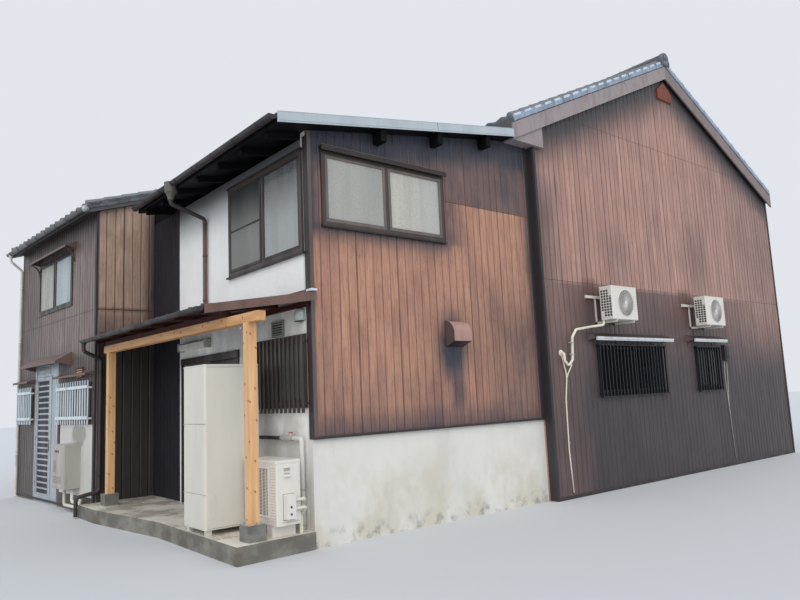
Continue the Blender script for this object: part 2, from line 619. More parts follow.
def wallOf(wall):
    # a wall by its name, or the frame itself
    return walls[wall] if isinstance(wall, str) else wall


def blockArrays(wall, rows):
    # boxes on a wall; a row is a0, a1, o0, o1, z0, z1 and a corner is low + (high - low) * cube
    wall = wallOf(wall)
    rows = np.asarray(rows, float).reshape(-1, 6)
    low, high = rows[:, None, 0::2], rows[:, None, 1::2]
    corners = low + (high - low) * cubeCorners[None]
    up = wall.get("up", upAxis)
    points = (wall["origin"] + corners[..., :1] * wall["along"] + corners[..., 1:2] * wall["out"]
        + corners[..., 2:] * up)
    faces = cubeFaces[None] + 8 * np.arange(len(rows))[:, None, None]
    faces = faces.reshape(-1, 4)
    turned = np.dot(np.cross(wall["along"], wall["out"]), up) < 0
    return points.reshape(-1, 3), faces[:, ::-1] if turned else faces


def blocks(name, wall, rows, finish, edge=0.003, body=houseBody):
    # a piece of boxes on a wall, their edges bevelled by edge
    points, faces = blockArrays(wall, rows)
    piece = makePiece(name, points, faces, finish, body=body)
    return soften(piece, edge) if edge else piece


def border(across, up, out, side, foot, head):
    # four bars round a rectangle: foot and head at full width, the sides between them
    (a0, a1), (z0, z1) = across, up
    return [(a0, a1, *out, z0, z0 + foot), (a0, a1, *out, z1 - head, z1),
        (a0, a0 + side, *out, z0 + foot, z1 - head), (a1 - side, a1, *out, z0 + foot, z1 - head)]


def onWall(wall, a, out, z):
    # a point of a wall: origin + along * a + out * o + up * z
    wall = wallOf(wall)
    a, out, z = np.broadcast_arrays(np.asarray(a, float), np.asarray(out, float), np.asarray(z, float))
    return (wall["origin"] + a[..., None] * wall["along"] + out[..., None] * wall["out"]
        + z[..., None] * upAxis)


def wallPath(wall, spots):
    # the points of a wall at a list of (a, out, z) spots
    return onWall(wall, *np.array(spots, float).T)


def roundPath(points, radius):
    # straight runs joined by arcs: at each corner a quadratic curve between the two tangent points
    points = np.asarray(points, float)
    path = [points[:1]]
    t = np.linspace(0, 1, 7)[:, None]
    for before, corner, after in zip(points[:-2], points[1:-1], points[2:]):
        back, ahead = before - corner, after - corner
        reach = min(radius, 0.45 * np.linalg.norm(back), 0.45 * np.linalg.norm(ahead))
        start = corner + back / np.linalg.norm(back) * reach
        end = corner + ahead / np.linalg.norm(ahead) * reach
        path.append((1 - t) ** 2 * start + 2 * t * (1 - t) * corner + t ** 2 * end)
    path.append(points[-1:])
    return np.concatenate(path)


def pathFrames(path):
    # side and lift vectors carried along a path without twist
    tangent = np.gradient(path, axis=0)
    tangent /= np.linalg.norm(tangent, axis=1)[:, None]
    guide = upAxis if abs(tangent[0] @ upAxis) < 0.9 else np.array([1.0, 0, 0])
    side = np.cross(tangent[0], guide)
    sides = []
    for direction in tangent:
        side = side - direction * (side @ direction)
        side = side / np.linalg.norm(side)
        sides.append(side)
    sides = np.array(sides)
    return sides, np.cross(sides, tangent)


def ringFaces(levels, count):
    # quads from each ring of points to the next, with the rings' indices and their neighbours'
    index = np.arange(levels * count).reshape(levels, count)
    ahead = np.roll(index, -1, axis=1)
    quads = np.stack([index[:-1], ahead[:-1], ahead[1:], index[1:]], -1).reshape(-1, 4)
    return quads, index, ahead


def closeRings(rings):
    # rings joined by quads, with a fan of triangles from the middle of each end ring
    levels, count = rings.shape[:2]
    quads, index, ahead = ringFaces(levels, count)
    first, last = np.full(count, levels * count), np.full(count, levels * count + 1)
    fans = np.concatenate([np.stack([first, ahead[0], index[0]], -1),
        np.stack([last, index[-1], ahead[-1]], -1)])
    points = np.concatenate([rings.reshape(-1, 3), rings[[0, -1]].mean(1)])
    return points, quads, fans


def carryProfile(path, profile):
    # point = path(t) + side(t) * a + lift(t) * b for each profile point (a, b), ends closed
    sides, lifts = pathFrames(path)
    profile = np.broadcast_to(np.asarray(profile, float), (len(path), *np.shape(profile)[-2:]))
    return closeRings(path[:, None] + profile[..., :1] * sides[:, None]
        + profile[..., 1:] * lifts[:, None])


def mergeParts(parts):
    # joins (points, quads, triangles) parts: later indices are raised by the points before them
    points, faces, base = [], [], 0
    for part in parts:
        points.append(part[0])
        for group in part[1:]:
            group = np.asarray(group, int)
            if group.shape[1] == 3:
                group = np.concatenate([group, group[:, :1]], 1)
            faces.append(group + base)
        base += len(part[0])
    return np.concatenate(points), np.concatenate(faces)


def makeMixed(name, parts, finish, smooth=True, body=houseBody, attributes=None):
    # a piece with quads and triangles; a triangle comes as a quad whose last index repeats
    points, faces = mergeParts(parts)
    mesh = bpy.data.meshes.new(name)
    lists = [tuple(dict.fromkeys(face)) for face in faces.tolist()]
    mesh.from_pydata((points + planShift).tolist(), [], lists)
    mesh.polygons.foreach_set("use_smooth", np.full(len(lists), smooth))
    return linkPiece(mesh, finish, body, attributes)


def circle(radius, sides):
    # (r cos t, r sin t) for t round the circle
    turn = np.linspace(0, 2 * np.pi, sides, endpoint=False)
    return radius * np.stack([np.cos(turn), np.sin(turn)], -1)


def pipes(name, runs, finish, body=houseBody):
    # each run is (points, radius, bend): a twelve sided pipe along the rounded path
    makeMixed(name, [carryProfile(roundPath(points, bend), circle(radius, 12))
            for points, radius, bend in runs], finish, body=body)


# The CAD nodes keep their shapes and each takes one of the finishes
nodeFinishes = {
    "gableSteel": "gable_wall back_wall main_upper_wall",
    "partyRender": "party_wall",
    "roofBoards": "main_roof_left main_roof_right rear_roof_front rear_roof_back",
    "roofTile": "main_ridge rear_ridge",
    "bargePaint": "bargeboards eave_return",
    "whitePlaster": "wing_street_wall",
    "darkTrim": "wing_siding",
    "sidePlaster": "wing_side_wall",
    "nookSteel": "nook_wall wing_header",
    "wingRoofPaint": "wing_roof",
    "soffitBoards": "wing_rafters",
    "rearSteel": "rear_wall_near rear_wall_far rear_wall_over rear_back_wall",
    "darkBoards": "rear_side_wall",
    "slabConcrete": "ground_floor porch_slab",
    "floorTimber": "upper_floor",
    "blockConcrete": "post_blocks",
    "newTimberPost": "porch_posts",
    "newTimberBeam": "porch_beam",
    "redTimber": "porch_purlin porch_rafters",
    "porchRoofPaint": "porch_roof",
    "frameBronze": "wing_window_frames",
    "wingPanes": "wing_glass",
    "blackBars": "gable_window_frames",
    "darkGlass": "gable_glass rear_glass",
    "silverFrame": "back_window_frames rear_door_frame rear_door_leaf",
    "curtainGlass": "back_glass",
    "bronzeFrame": "rear_window_frames entrance_doors",
    "hoodPaint": "window_hoods",
    "guardWhite": "window_guards",
    "gutterBrown": "wing_gutter porch_gutter",
    "gutterGrey": "rear_gutter",
    "tankCase": "hot_water_tank",
    "creamCase": "heat_pump wall_units",
    "greyCase": "gas_heater",
    "exhaustPaint": "exhaust_hood",
    "ventPaint": "wall_vents",
    "roofSteel": "roof_trims",
    "brownSteel": "porch_fascia",
    "downpipePaint": "downpipes",
    "creamPipe": "service_pipes",
}
for finish, nodeNames in nodeFinishes.items():
    for nodeName in nodeNames.split():
        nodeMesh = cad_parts[nodeName].data
        nodeMesh.materials.clear()
        nodeMesh.materials.append(finishes[finish])
print("nodes shaded")


# Ribbed sheet cladding

def roofLine(node):
    # height of a roof slope's underside against x: a straight line through its two ends
    points = nodePoints(node)
    left, right = points[:, 0].min(), points[:, 0].max()
    ends = [points[np.abs(points[:, 0] - x) < 0.002][:, 2].min() for x in (left, right)]
    return lambda x: ends[0] + (ends[1] - ends[0]) * (np.asarray(x, float) - left) / (right - left)


def keepUsed(points, faces):
    # the points that faces use, the faces counted over them, and which points they are
    used, packed = np.unique(faces, return_inverse=True)
    return points.reshape(-1, 3)[used], packed.reshape(faces.shape), used


def cladSheet(name, wall, values, top, holes, finish, soot):
    # out(a) = skin - depth * (1 - distance to the nearest rib / half width), deeper at each joint
    start, end, pitch = values["start"], values["end"], values["pitch"]
    first = values.get("first", start)
    ribs = first + pitch * np.arange(math.ceil((start - first) / pitch) - 1,
        math.ceil((end - first) / pitch) + 1)
    joint = np.round((ribs - first) / pitch).astype(int) % values["jointEvery"] == 0
    half = np.where(joint, values["jointHalf"], values["ribHalf"])
    depth = np.where(joint, values["jointDepth"], values["ribDepth"])
    samples = np.concatenate([ribs - half, ribs, ribs + half, [start, end]]
        + [[hole[0][0], hole[1][0]] for hole in holes])
    across = np.unique(np.round(samples[(samples >= start) & (samples <= end)], 5))
    levels = np.concatenate([np.arange(values["foot"], values["high"], values["rows"]),
            [values["foot"], values["high"]], values.get("seams", [])]
        + [[hole[0][1], hole[1][1]] for hole in holes])
    levels = np.unique(np.round(levels, 5))
    a, z = np.meshgrid(across, levels)
    z = np.minimum(z, top(a))
    nearest = np.abs(across[:, None] - ribs[None]).argmin(1)
    distance = np.abs(across - ribs[nearest])
    dip = depth[nearest] * np.clip(1 - distance / half[nearest], 0, 1)
    out = np.broadcast_to(values["skin"] - dip, a.shape)
    low, high = levels[:-1], levels[1:]
    middleA = (across[:-1] + across[1:]) / 2
    keep = np.ones((len(low), len(middleA)), bool)
    for (left, foot), (right, head) in holes:
        inside = (middleA > left) & (middleA < right)
        keep &= ~(inside[None] & ((low + high)[:, None] / 2 > foot)
            & ((low + high)[:, None] / 2 < head))
    keep &= low[:, None] < top(middleA)[None] - 0.002
    faces = gridFaces(len(levels), len(across))[keep.ravel()]
    frameOf = walls[wall]
    outward = np.dot(np.cross(frameOf["along"], upAxis), frameOf["out"]) > 0
    faces = faces if outward else faces[:, ::-1]
    tints = np.random.default_rng(values["seed"]).random(len(ribs) + 1)
    tint = np.broadcast_to(tints[np.searchsorted(ribs, across)], a.shape)
    groove = np.where(joint, 1.0, 0.5)[nearest] * np.clip(1 - distance / half[nearest], 0, 1)
    rust = values["rust"](a, z) if "rust" in values else 0.0 * a
    points, faces, used = keepUsed(onWall(wall, a, out, z), faces)
    attributes = {"soot": np.clip(soot(a, z), 0, 1).ravel()[used], "ribTint": tint.ravel()[used],
        "groove": np.broadcast_to(groove, a.shape).ravel()[used], "rust": rust.ravel()[used]}
    thicken(makePiece(name, points, faces, finish, attributes=attributes), 0.003)


def fall(value, start, end):
    # 1 at start, 0 at end, smooth between
    t = np.clip((np.asarray(value, float) - end) / (start - end), 0, 1)
    return t * t * (3 - 2 * t)


sheetRibs = {"pitch": 0.129, "jointEvery": 5, "ribHalf": 0.011, "ribDepth": 0.007,
    "jointHalf": 0.014, "jointDepth": 0.009, "skin": 0.0105, "rows": 0.16}
streetWindow = ((0.197, 3.648), (2.163, 4.568))
sideWindow = ((0.09, 3.329), (2.015, 4.558))
latticeWindow = ((0.09, 1.53), (1.29, 2.374))
gableWindows = (((5.258, 1.477), (7.193, 2.295)), ((8.35, 1.482), (9.215, 2.296)))
backWindows = (((5.4, 1.1), (7.1, 2.2)), ((9.2, 1.1), (10.9, 2.2)), ((5.9, 3.7), (7.5, 4.8)),
    ((8.8, 3.7), (10.4, 4.8)), ((0.5, 3.65), (2.2, 4.6)))
rearWindow = ((1.1, 3.41), (2.92, 4.39))
guardWindows = (((0.15, 1.42), (1.6, 2.06)), ((3.14, 1.42), (3.96, 2.06)))
wingUnder = roofLine("wing_roof")
mainUnderLeft = roofLine("main_roof_left")
mainUnderRight = roofLine("main_roof_right")
ridgeX = nodePoints("main_roof_left")[:, 0].max()
eaveX = nodePoints("main_roof_left")[:, 0].min()
returnFoot = nodePoints("eave_return")[:, 2].min()
sidingFoot = nodePoints("wing_siding")[:, 2].min()


def mainUnder(x):
    # underside of the main roof: the left slope up to the ridge, then the right one
    return np.where(np.asarray(x) < ridgeX, mainUnderLeft(x), mainUnderRight(x))


def streetTop(x):
    # the street wall ends under the lean-to's roof, or at the foot of the eave's return
    return np.where(np.asarray(x) < eaveX, wingUnder(x), returnFoot)


wingJoint, gableJoint, boardJoint = 4.235, 3.275, 3.22


def wingSoot(a, z):
    # dark under the eave and above the sheet joint, in a band below the window and below the hood
    overJoint = (0.7 + 0.3 * fall(streetTop(a) - z, 0.05, 0.6)) * (z > wingJoint) * (a > 2.2)
    eave = fall(streetTop(a) - z, 0.22, 0.85)
    window = 0.85 * fall(streetWindow[0][1] - z, 0.0, 0.3) * (z < streetWindow[0][1] + 0.01)
    window = window * fall(a, 2.1, 2.45)
    besideWindow = 0.6 * fall(np.abs(a - 2.2), 0.05, 0.5) * (z > 3.6)
    hood = 0.95 * fall(np.hypot(a - 2.2, 0.55 * (z - 2.2)), 0.1, 0.42)
    run = 0.7 * fall(np.abs(a - 2.27), 0.07, 0.17) * fall(2.35 - z, 0.9, 1.3) * (z < 2.35)
    foot = 0.55 * fall(z, 1.25, 1.5) + 0.22 * fall(z, 1.4, 2.4)
    left = 0.95 * fall(a, 0.1, 0.24) * (z > 3.5) + 0.3 * fall(a, 0.05, 0.5) * fall(z, 1.4, 3.6)
    right = 0.5 * fall(mainLeft - a, 0.4, 2.1) * fall(z, 2.4, 3.5)
    corner = 0.8 * fall(mainLeft - a, 0.06, 0.3)
    return np.maximum.reduce([overJoint, eave, window, besideWindow, hood, run, foot, left, right,
            corner])


def gableSoot(a, z):
    # dark along the roof line and under the upper joint's left end, and in the lower sheet
    under = mainUnder(a) - z
    top = fall(under, 0.2, 1.0)
    lower = (0.68 + 0.3 * fall(z, 1.5, 3.3)) * (z < gableJoint)
    lower = lower * (1 - 0.6 * fall(mainRight - a, 0.4, 3.4) * fall(gableJoint - z, 0.15, 1.5))
    lower = lower * (1 - 0.16 * fall(a, 4.4, 5.2))
    spots = 0.24 * fall(np.hypot(a - 6.1, 0.8 * (z - 3.85)), 0.05, 0.6)
    spots = spots + 0.36 * fall(np.hypot(a - 8.75, 0.8 * (z - 4.05)), 0.1, 0.9)
    right = 0.34 * fall(mainRight - a, 0.1, 3.4)
    left = 0.6 * fall(a - mainLeft, 0.05, 0.8) * fall(z, 4.3, 5.6)
    units = 0.0
    for left0 in (5.2, 8.2):
        units = units + 0.8 * fall(np.abs(a - left0 - 0.05), 0.05, 0.32) * fall(
            np.abs(z - 3.0), 0.1, 0.36)
    return np.maximum.reduce([top, lower, spots, right, left, units])


unitLefts = (5.205, 8.185)


def gableRust(a, z):
    # brown stains on the wall above the near end of each wall unit
    stain = 0.0 * a
    for left in unitLefts:
        stain = stain + 0.75 * fall(np.abs(a - left + 0.02), 0.08, 0.3) * fall(
            np.abs(z - 3.17), 0.06, 0.26)
    return stain


cladSheet("wingSidingRibs", "street",
    {**sheetRibs, "start": 0.055, "end": mainLeft - 0.075, "first": 0.03,
        "foot": sidingFoot + 0.012, "high": float(wingUnder(eaveX)), "seams": [wingJoint], "seed": 3},
    streetTop, [streetWindow], "wingSteel", wingSoot)
cladSheet("gableSidingRibs", "gable",
    {**sheetRibs, "start": mainLeft + 0.045, "end": mainRight - 0.03, "first": 3.868,
        "foot": 0.02, "high": float(mainUnder(ridgeX)), "seams": [gableJoint, 6.0], "seed": 5,
        "rust": gableRust}, mainUnder, list(gableWindows), "gableSteel", gableSoot)
cladSheet("backSidingRibs", "back",
    {**sheetRibs, "start": mainLeft + 0.02, "end": mainRight - 0.03, "first": 3.868,
        "foot": 0.02, "high": float(mainUnder(ridgeX)), "seams": [gableJoint, 6.0], "seed": 6},
    mainUnder, list(backWindows[:4]), "gableSteel", gableSoot)
print("cladding done")

rearTop = nodePoints("rear_wall_over")[:, 2].max()
rearLength, rearPitch = 4.06, 0.333
cornerX, cornerY = roofSlope["rearCorner"]


def flatTop(height):
    # a level top at the same height for every a
    return lambda a: np.full(np.shape(a), float(height))


def rearSideTop(x):
    # the rear roof rises by its pitch for each metre away from the front wall
    return rearTop + rearPitch * np.clip(np.asarray(x, float) - cornerX, 0, 2.4)


def rearSoot(a, z):
    # dark under the eave, at the foot and towards the far end
    far = 0.5 * fall(rearLength - a, 0.3, 2.2)
    return np.maximum.reduce([0.85 * fall(rearTop - z, 0.05, 0.7), 0.66 * fall(z, 2.3, 2.8), far])


def boardRust(a, z):
    # brown blooms where the board joints cross the seam
    joint = np.abs((a - cornerX + 0.07) % 0.14 - 0.07)
    return 0.75 * fall(np.abs(z - 3.217), 0.01, 0.05) * (0.3 + 0.7 * fall(joint, 0.0, 0.05))


def boardSoot(a, z):
    # dark at the corner and below the seam
    return np.maximum(0.9 * fall(-a, 0.02, 0.24), 0.6 * fall(z, 2.9, 3.3))


boardSheet = {"pitch": 0.14, "jointEvery": 3, "ribHalf": 0.012, "ribDepth": 0.007,
    "jointHalf": 0.016, "jointDepth": 0.009, "skin": 0.0105, "rows": 0.2}
rearSheet = {**sheetRibs, "pitch": 0.12, "jointEvery": 6, "foot": 2.49, "high": rearTop + 0.005}
cladSheet("rearFrontRibs", "rear", {**rearSheet, "start": 0.04, "end": rearLength, "first": 0.04,
        "seams": [boardJoint], "seed": 8}, flatTop(rearTop), [rearWindow], "rearSteel", rearSoot)
for name, start, end, window, seed in (("rearFrontRibsNear", 0.04, 1.715, 0, 9),
        ("rearFrontRibsFar", 3.055, rearLength, 1, 10)):
    cladSheet(name, "rear", {**rearSheet, "start": start, "end": end, "first": 0.04, "foot": 0.06,
            "high": 2.49, "seed": seed}, flatTop(2.49), [guardWindows[window]], "rearSteel", rearSoot)
cladSheet("rearSideBoards", "rearSide",
    {**boardSheet, "start": -0.9, "end": -0.012, "first": cornerX, "foot": 2.84,
        "high": float(rearSideTop(0)), "seams": [3.16, boardJoint, 3.26], "seed": 11,
        "rust": boardRust}, rearSideTop, [], "sideBoards", boardSoot)
cladSheet("porchBoards", "rearSide",
    {**boardSheet, "start": -0.9, "end": -0.012, "first": cornerX, "foot": 0.2,
        "high": 2.72, "seed": 12}, flatTop(2.72), [], "darkBoards", rearSoot)
for name, foot, high, seed in (("nookBoards", 0.2, 2.7, 13), ("nookBoardsUpper", 2.84, 4.7, 14)):
    cladSheet(name, "plaster", {**boardSheet, "start": 3.803, "end": 4.89, "first": 3.8,
            "foot": foot, "high": high, "seed": seed}, flatTop(high), [], "nookSteel", rearSoot)
cladSheet("rearBackRibs", "back",
    {**sheetRibs, "start": -1.2, "end": mainLeft - 0.02, "first": 0.0, "foot": 0.02,
        "high": 6.0, "seams": [gableJoint], "seed": 15},
    lambda a: np.interp(a, [-1.23, 0.97, 4.01], [4.82, 5.55, 4.75]), [backWindows[4]],
    "rearSteel", rearSoot)

# Corner boards, foot flashings and joint covers
blocks("wingCornerTrim", "street", [
    (-0.006, 0.048, 0, 0.028, sidingFoot - 0.01, float(wingUnder(0)) - 0.005)], "cornerTrim")
blocks("wingTrims", "street", [
    (-0.004, mainLeft - 0.001, 0, 0.03, sidingFoot - 0.012, sidingFoot + 0.016),
    (-0.008, -0.001, -0.075, 0.03, sidingFoot - 0.01, float(wingUnder(0)) - 0.06),
    (mainLeft - 0.075, mainLeft - 0.001, 0, 0.022, sidingFoot, returnFoot),
    (2.22, mainLeft - 0.075, 0.008, 0.0135, 4.228, 4.236)], "darkTrim")
blocks("gableTrims", "gable", [(mainLeft - 0.004, mainLeft + 0.046, 0, 0.024, 0.01, returnFoot),
    (mainRight - 0.045, mainRight + 0.004, 0, 0.024, 0.01, float(mainUnder(mainRight)) - 0.03),
    (mainLeft + 0.046, mainRight - 0.045, 0.004, 0.0125, 3.268, 3.276),
    (ridgeX - 3.1, ridgeX + 3.3, 0.004, 0.0125, 5.996, 6.003),
    (mainLeft, mainRight, 0, 0.02, 0.004, 0.05)], "darkTrim")
blocks("gableReturnFace", "plaster", [
    (gableFace - 0.003, -0.012, -mainLeft - 0.001, -mainLeft + 0.006, 0.01, returnFoot)], "darkTrim")
blocks("sideSeam", "rearSide", [(-0.92, -0.01, 0.004, 0.0135, 3.212, 3.222)], "darkTrim", 0)
blocks("rearSeam", "rear", [(0.06, rearLength, 0.004, 0.0125, 3.214, 3.222)], "darkTrim", 0)
blocks("nookHeadBoard", "plaster", [(3.79, 4.9, -0.11, 0.004, 4.68, 4.8)], "soffitBoards")
blocks("rearCornerBoards", "rear", [(-0.008, 0.06, -0.012, 0.02, 0.04, rearTop - 0.01),
    (0, rearLength, 0, 0.02, 0.03, 0.07)], "darkTrim")

# Window sashes, sills, visors and bars

def sashBars(corners, width):
    # a border of bars round each of two lights; the second sash stands 6 mm further out
    (left, foot), (right, head) = corners
    light = (right - left - 0.15) / 2
    low, high = foot + 0.05, head - 0.05
    rows = []
    for start, out in ((left + 0.05, 0.017), (left + light + 0.1, 0.023)):
        end, bar = start + light, (out, out + 0.012)
        rows += [(start, end, *bar, low, low + width * 1.3), (start, end, *bar, high - width, high),
            (start, start + width, *bar, low + width, high - width),
            (end - width, end, *bar, low + width, high - width)]
    return rows


(wl, wf), (wr, wh) = streetWindow
blocks("streetSashes", "street", sashBars(streetWindow, 0.034), "sashBronze", 0.002)
blocks("streetVisor", "street", [(wl - 0.03, wr + 0.03, 0, 0.085, wh + 0.012, wh + 0.05),
    (wl - 0.03, wr + 0.03, 0.078, 0.088, wh - 0.012, wh + 0.05),
    (wl - 0.02, wr + 0.02, 0, 0.05, wf - 0.022, wf),
    (wl - 0.012, wl, 0, 0.034, wf, wh), (wr, wr + 0.012, 0, 0.034, wf, wh)], "bronzeFrame")
blocks("streetVisorEdge", "street", [
    (wl - 0.032, wr + 0.032, 0.06, 0.09, wh + 0.05, wh + 0.056)], "sashBronze", 0.001)
(sl, sf), (sr, sh) = sideWindow
blocks("sideSashes", "plaster", sashBars(sideWindow, 0.03), "bronzeFrame", 0.002)
blocks("sideTrims", "plaster", [(sl - 0.04, sr + 0.04, 0, 0.05, sf - 0.025, sf - 0.002),
    (sl - 0.02, sr + 0.02, 0, 0.04, sh, sh + 0.03)], "bronzeFrame")
screenLeft = (sl + sr) / 2 + 0.03
blocks("insectScreen", "plaster", [(screenLeft, sr - 0.07, 0.024, 0.027, sf + 0.07, sh - 0.07)],
    "insectNet", 0)
blocks("insectScreenBars", "plaster", [
    (screenLeft - 0.012, screenLeft + 0.018, 0.022, 0.034, sf + 0.05, sh - 0.05),
    (sr - 0.085, sr - 0.055, 0.022, 0.034, sf + 0.05, sh - 0.05),
    (screenLeft, sr - 0.06, 0.022, 0.034, sf + 0.05, sf + 0.08),
    (screenLeft, sr - 0.06, 0.022, 0.034, sh - 0.083, sh - 0.05),
    (screenLeft, sr - 0.06, 0.022, 0.034, (sf + sh) / 2 - 0.012, (sf + sh) / 2 + 0.012)],
    "bronzeFrame", 0.002)


def latticeBars(name, wall, left, right, low, high, count, values, finish):
    # count upright bars spread evenly, with rails behind them
    gap = (right - left - values["bar"]) / (count - 1)
    starts = left + gap * np.arange(count)
    rows = [(s, s + values["bar"], values["out"], values["out"] + values["depth"], low, high)
        for s in starts]
    for rail in values["rails"]:
        rows.append((left - 0.01, right + 0.01, values["out"] - 0.014, values["out"] + 0.002,
                rail, rail + values["rail"]))
    for arm in (left, right - 0.02):
        for rail in values["rails"]:
            rows.append((arm, arm + 0.02, 0, values["out"], rail, rail + 0.02))
    blocks(name, wall, rows, finish, 0.002)


(ll, lf), (lr, lh) = latticeWindow
latticeBars("latticeWindowBars", "plaster", ll - 0.01, lr + 0.01, lf - 0.055, lh - 0.01, 13,
    {"bar": 0.036, "out": 0.052, "depth": 0.022, "rails": (lf + 0.04, lh - 0.09), "rail": 0.035},
    "frameBronze")
blocks("latticeSashes", "plaster", sashBars(latticeWindow, 0.03), "bronzeFrame", 0.002)
(gl, gf), (gr, gh) = gableWindows[0]
grilleValues = {"bar": 0.018, "out": 0.05, "depth": 0.03, "rails": (gf + 0.012, gh - 0.045),
    "rail": 0.03}
middle = 0.5 * (gl + gr) + 0.03
latticeBars("gableGrilleNear", "gable", gl - 0.01, middle - 0.035, gf - 0.02, gh - 0.01, 11,
    grilleValues, "blackBars")
latticeBars("gableGrilleFar", "gable", middle + 0.01, gr + 0.01, gf - 0.02, gh - 0.01, 11,
    grilleValues, "blackBars")
(hl, hf), (hr, hh) = gableWindows[1]
blocks("gableGrilleRails", "gable", [(left - 0.016, right + 0.016, 0.046, 0.084, z, z + 0.02)
    for left, right in ((gl - 0.01, middle - 0.017), (middle + 0.01, gr + 0.01), (hl - 0.01, hr + 0.01))
    for z in (gf - 0.034, gh - 0.022)], "blackBars", 0.002)
latticeBars("gableGrilleSmall", "gable", hl - 0.01, hr + 0.01, hf - 0.02, hh - 0.01, 10,
    grilleValues, "blackBars")
for number, corners in enumerate(gableWindows):
    blocks(f"gableSashes{number}", "gable", sashBars(corners, 0.028), "blackBars", 0.002)
for number, corners in enumerate(backWindows):
    blocks(f"backSashes{number}", "back", sashBars(corners, 0.03), "silverFrame", 0.002)
for number, corners in enumerate((*guardWindows, rearWindow)):
    blocks(f"rearSashes{number}", "rear", sashBars(corners, 0.028), "bronzeFrame", 0.002)
rl, rr = rearWindow[0][0], rearWindow[1][0]
blocks("rearCurtain", "rear", [(rl + 0.98, rr - 0.09, 0.0185, 0.0195, 3.49, 4.31)], "curtainPane", 0)
blocks("rearBlind", "rear", [(rl + 0.09, rl + 0.84, 0.0185, 0.0195, 3.49, 4.31)], "tealPane", 0)
pipes("rearHoodArms", [(wallPath("rear", [(s, 0.014, 4.17), (s, 0.05, 4.33), (s, 0.2, 4.43)]),
            0.014, 0.12) for s in (rl - 0.08, rr)], "rustSteel")
print("windows done")


# Tiled roofs

def tileField(name, plane, columns, courses, seed, clip=None):
    # height = wave across each tile + a saw tooth along the slope, over the boards' own plane
    wide, steps = 8, np.array([0.0, 0.06, 0.5, 0.97])
    u = np.arange(columns * wide + 1) / wide
    v = (np.arange(courses)[:, None] + steps[None]).ravel()
    v = np.concatenate([[-0.012, -0.006], v, [float(courses)]])
    part = v - np.floor(np.maximum(v, 0))
    roll = 0.5 + 0.5 * np.cos(2 * np.pi * (u - 0.8))
    wave = 0.024 * roll ** 1.6 - 0.007 * np.sin(2 * np.pi * u)
    rise = 0.024 * (1 - part)
    rise[-1] = 0.0
    height = 0.006 + wave[None] + rise[:, None]
    height[0] = -0.06
    height[1] = height[2] - 0.004
    length = v * plane["course"]
    points = (plane["origin"] + (u * plane["tile"])[None, :, None] * plane["across"]
        + length[:, None, None] * plane["rise"] + height[..., None] * plane["normal"])
    random = np.random.default_rng(seed)
    tints = random.random((courses + 1, columns + 1))
    row = np.clip(np.floor(v).astype(int), 0, courses)
    column = np.clip(np.floor(u + 0.2).astype(int), 0, columns)
    tint = tints[row][:, column]
    faces = gridFaces(len(v), len(u))
    centre = points.reshape(-1, 3)[faces].mean(1)
    normal = np.cross(plane["across"], plane["rise"])
    if normal @ plane["normal"] < 0:
        faces = faces[:, ::-1]
    if clip is not None:
        faces = faces[clip(centre)]
    points, faces, used = keepUsed(points, faces)
    makePiece(name, points, faces, "roofTile", attributes={"tileTint": tint.ravel()[used]})


def slopePlane(start, across, rise, length, width, columns, courses):
    # tile and course are the slope's own width and length shared equally
    across = np.array(across, float) / np.linalg.norm(across)
    rise = np.array(rise, float) / np.linalg.norm(rise)
    normal = np.cross(across, rise)
    normal = normal if normal[2] > 0 else -normal
    return {"origin": np.array(start, float), "across": across, "rise": rise, "normal": normal,
        "course": length / courses, "tile": width / columns}


leftPoints, rightPoints = nodePoints("main_roof_left"), nodePoints("main_roof_right")
roofNear, roofFar = leftPoints[:, 1].min(), leftPoints[:, 1].max()
ridgeTop = leftPoints[:, 2].max()
rightX = rightPoints[:, 0].max()
slope = (ridgeTop - rightPoints[np.abs(rightPoints[:, 0] - rightX) < 0.002][:, 2].max()) / (
    rightX - ridgeX)
rightTileX = rightX - 0.05
leftLength = math.hypot(ridgeX - eaveX, slope * (ridgeX - eaveX)) - 0.09
rightLength = math.hypot(rightTileX - ridgeX, slope * (rightTileX - ridgeX)) - 0.09
roofWidth = roofFar - roofNear
leftEaveTop = ridgeTop - slope * (ridgeX - eaveX)
rightEaveTop = ridgeTop - slope * (rightTileX - ridgeX)
leftPlane = slopePlane((eaveX, roofNear, leftEaveTop), (0, 1, 0), (1, 0, slope), leftLength,
    roofWidth, 34, 18)
rightPlane = slopePlane((rightTileX, roofNear, rightEaveTop), (0, 1, 0), (-1, 0, slope), rightLength,
    roofWidth, 34, 15)
tileField("mainTilesLeft", leftPlane, 34, 18, seed=21)
tileField("mainTilesRight", rightPlane, 34, 15, seed=22)


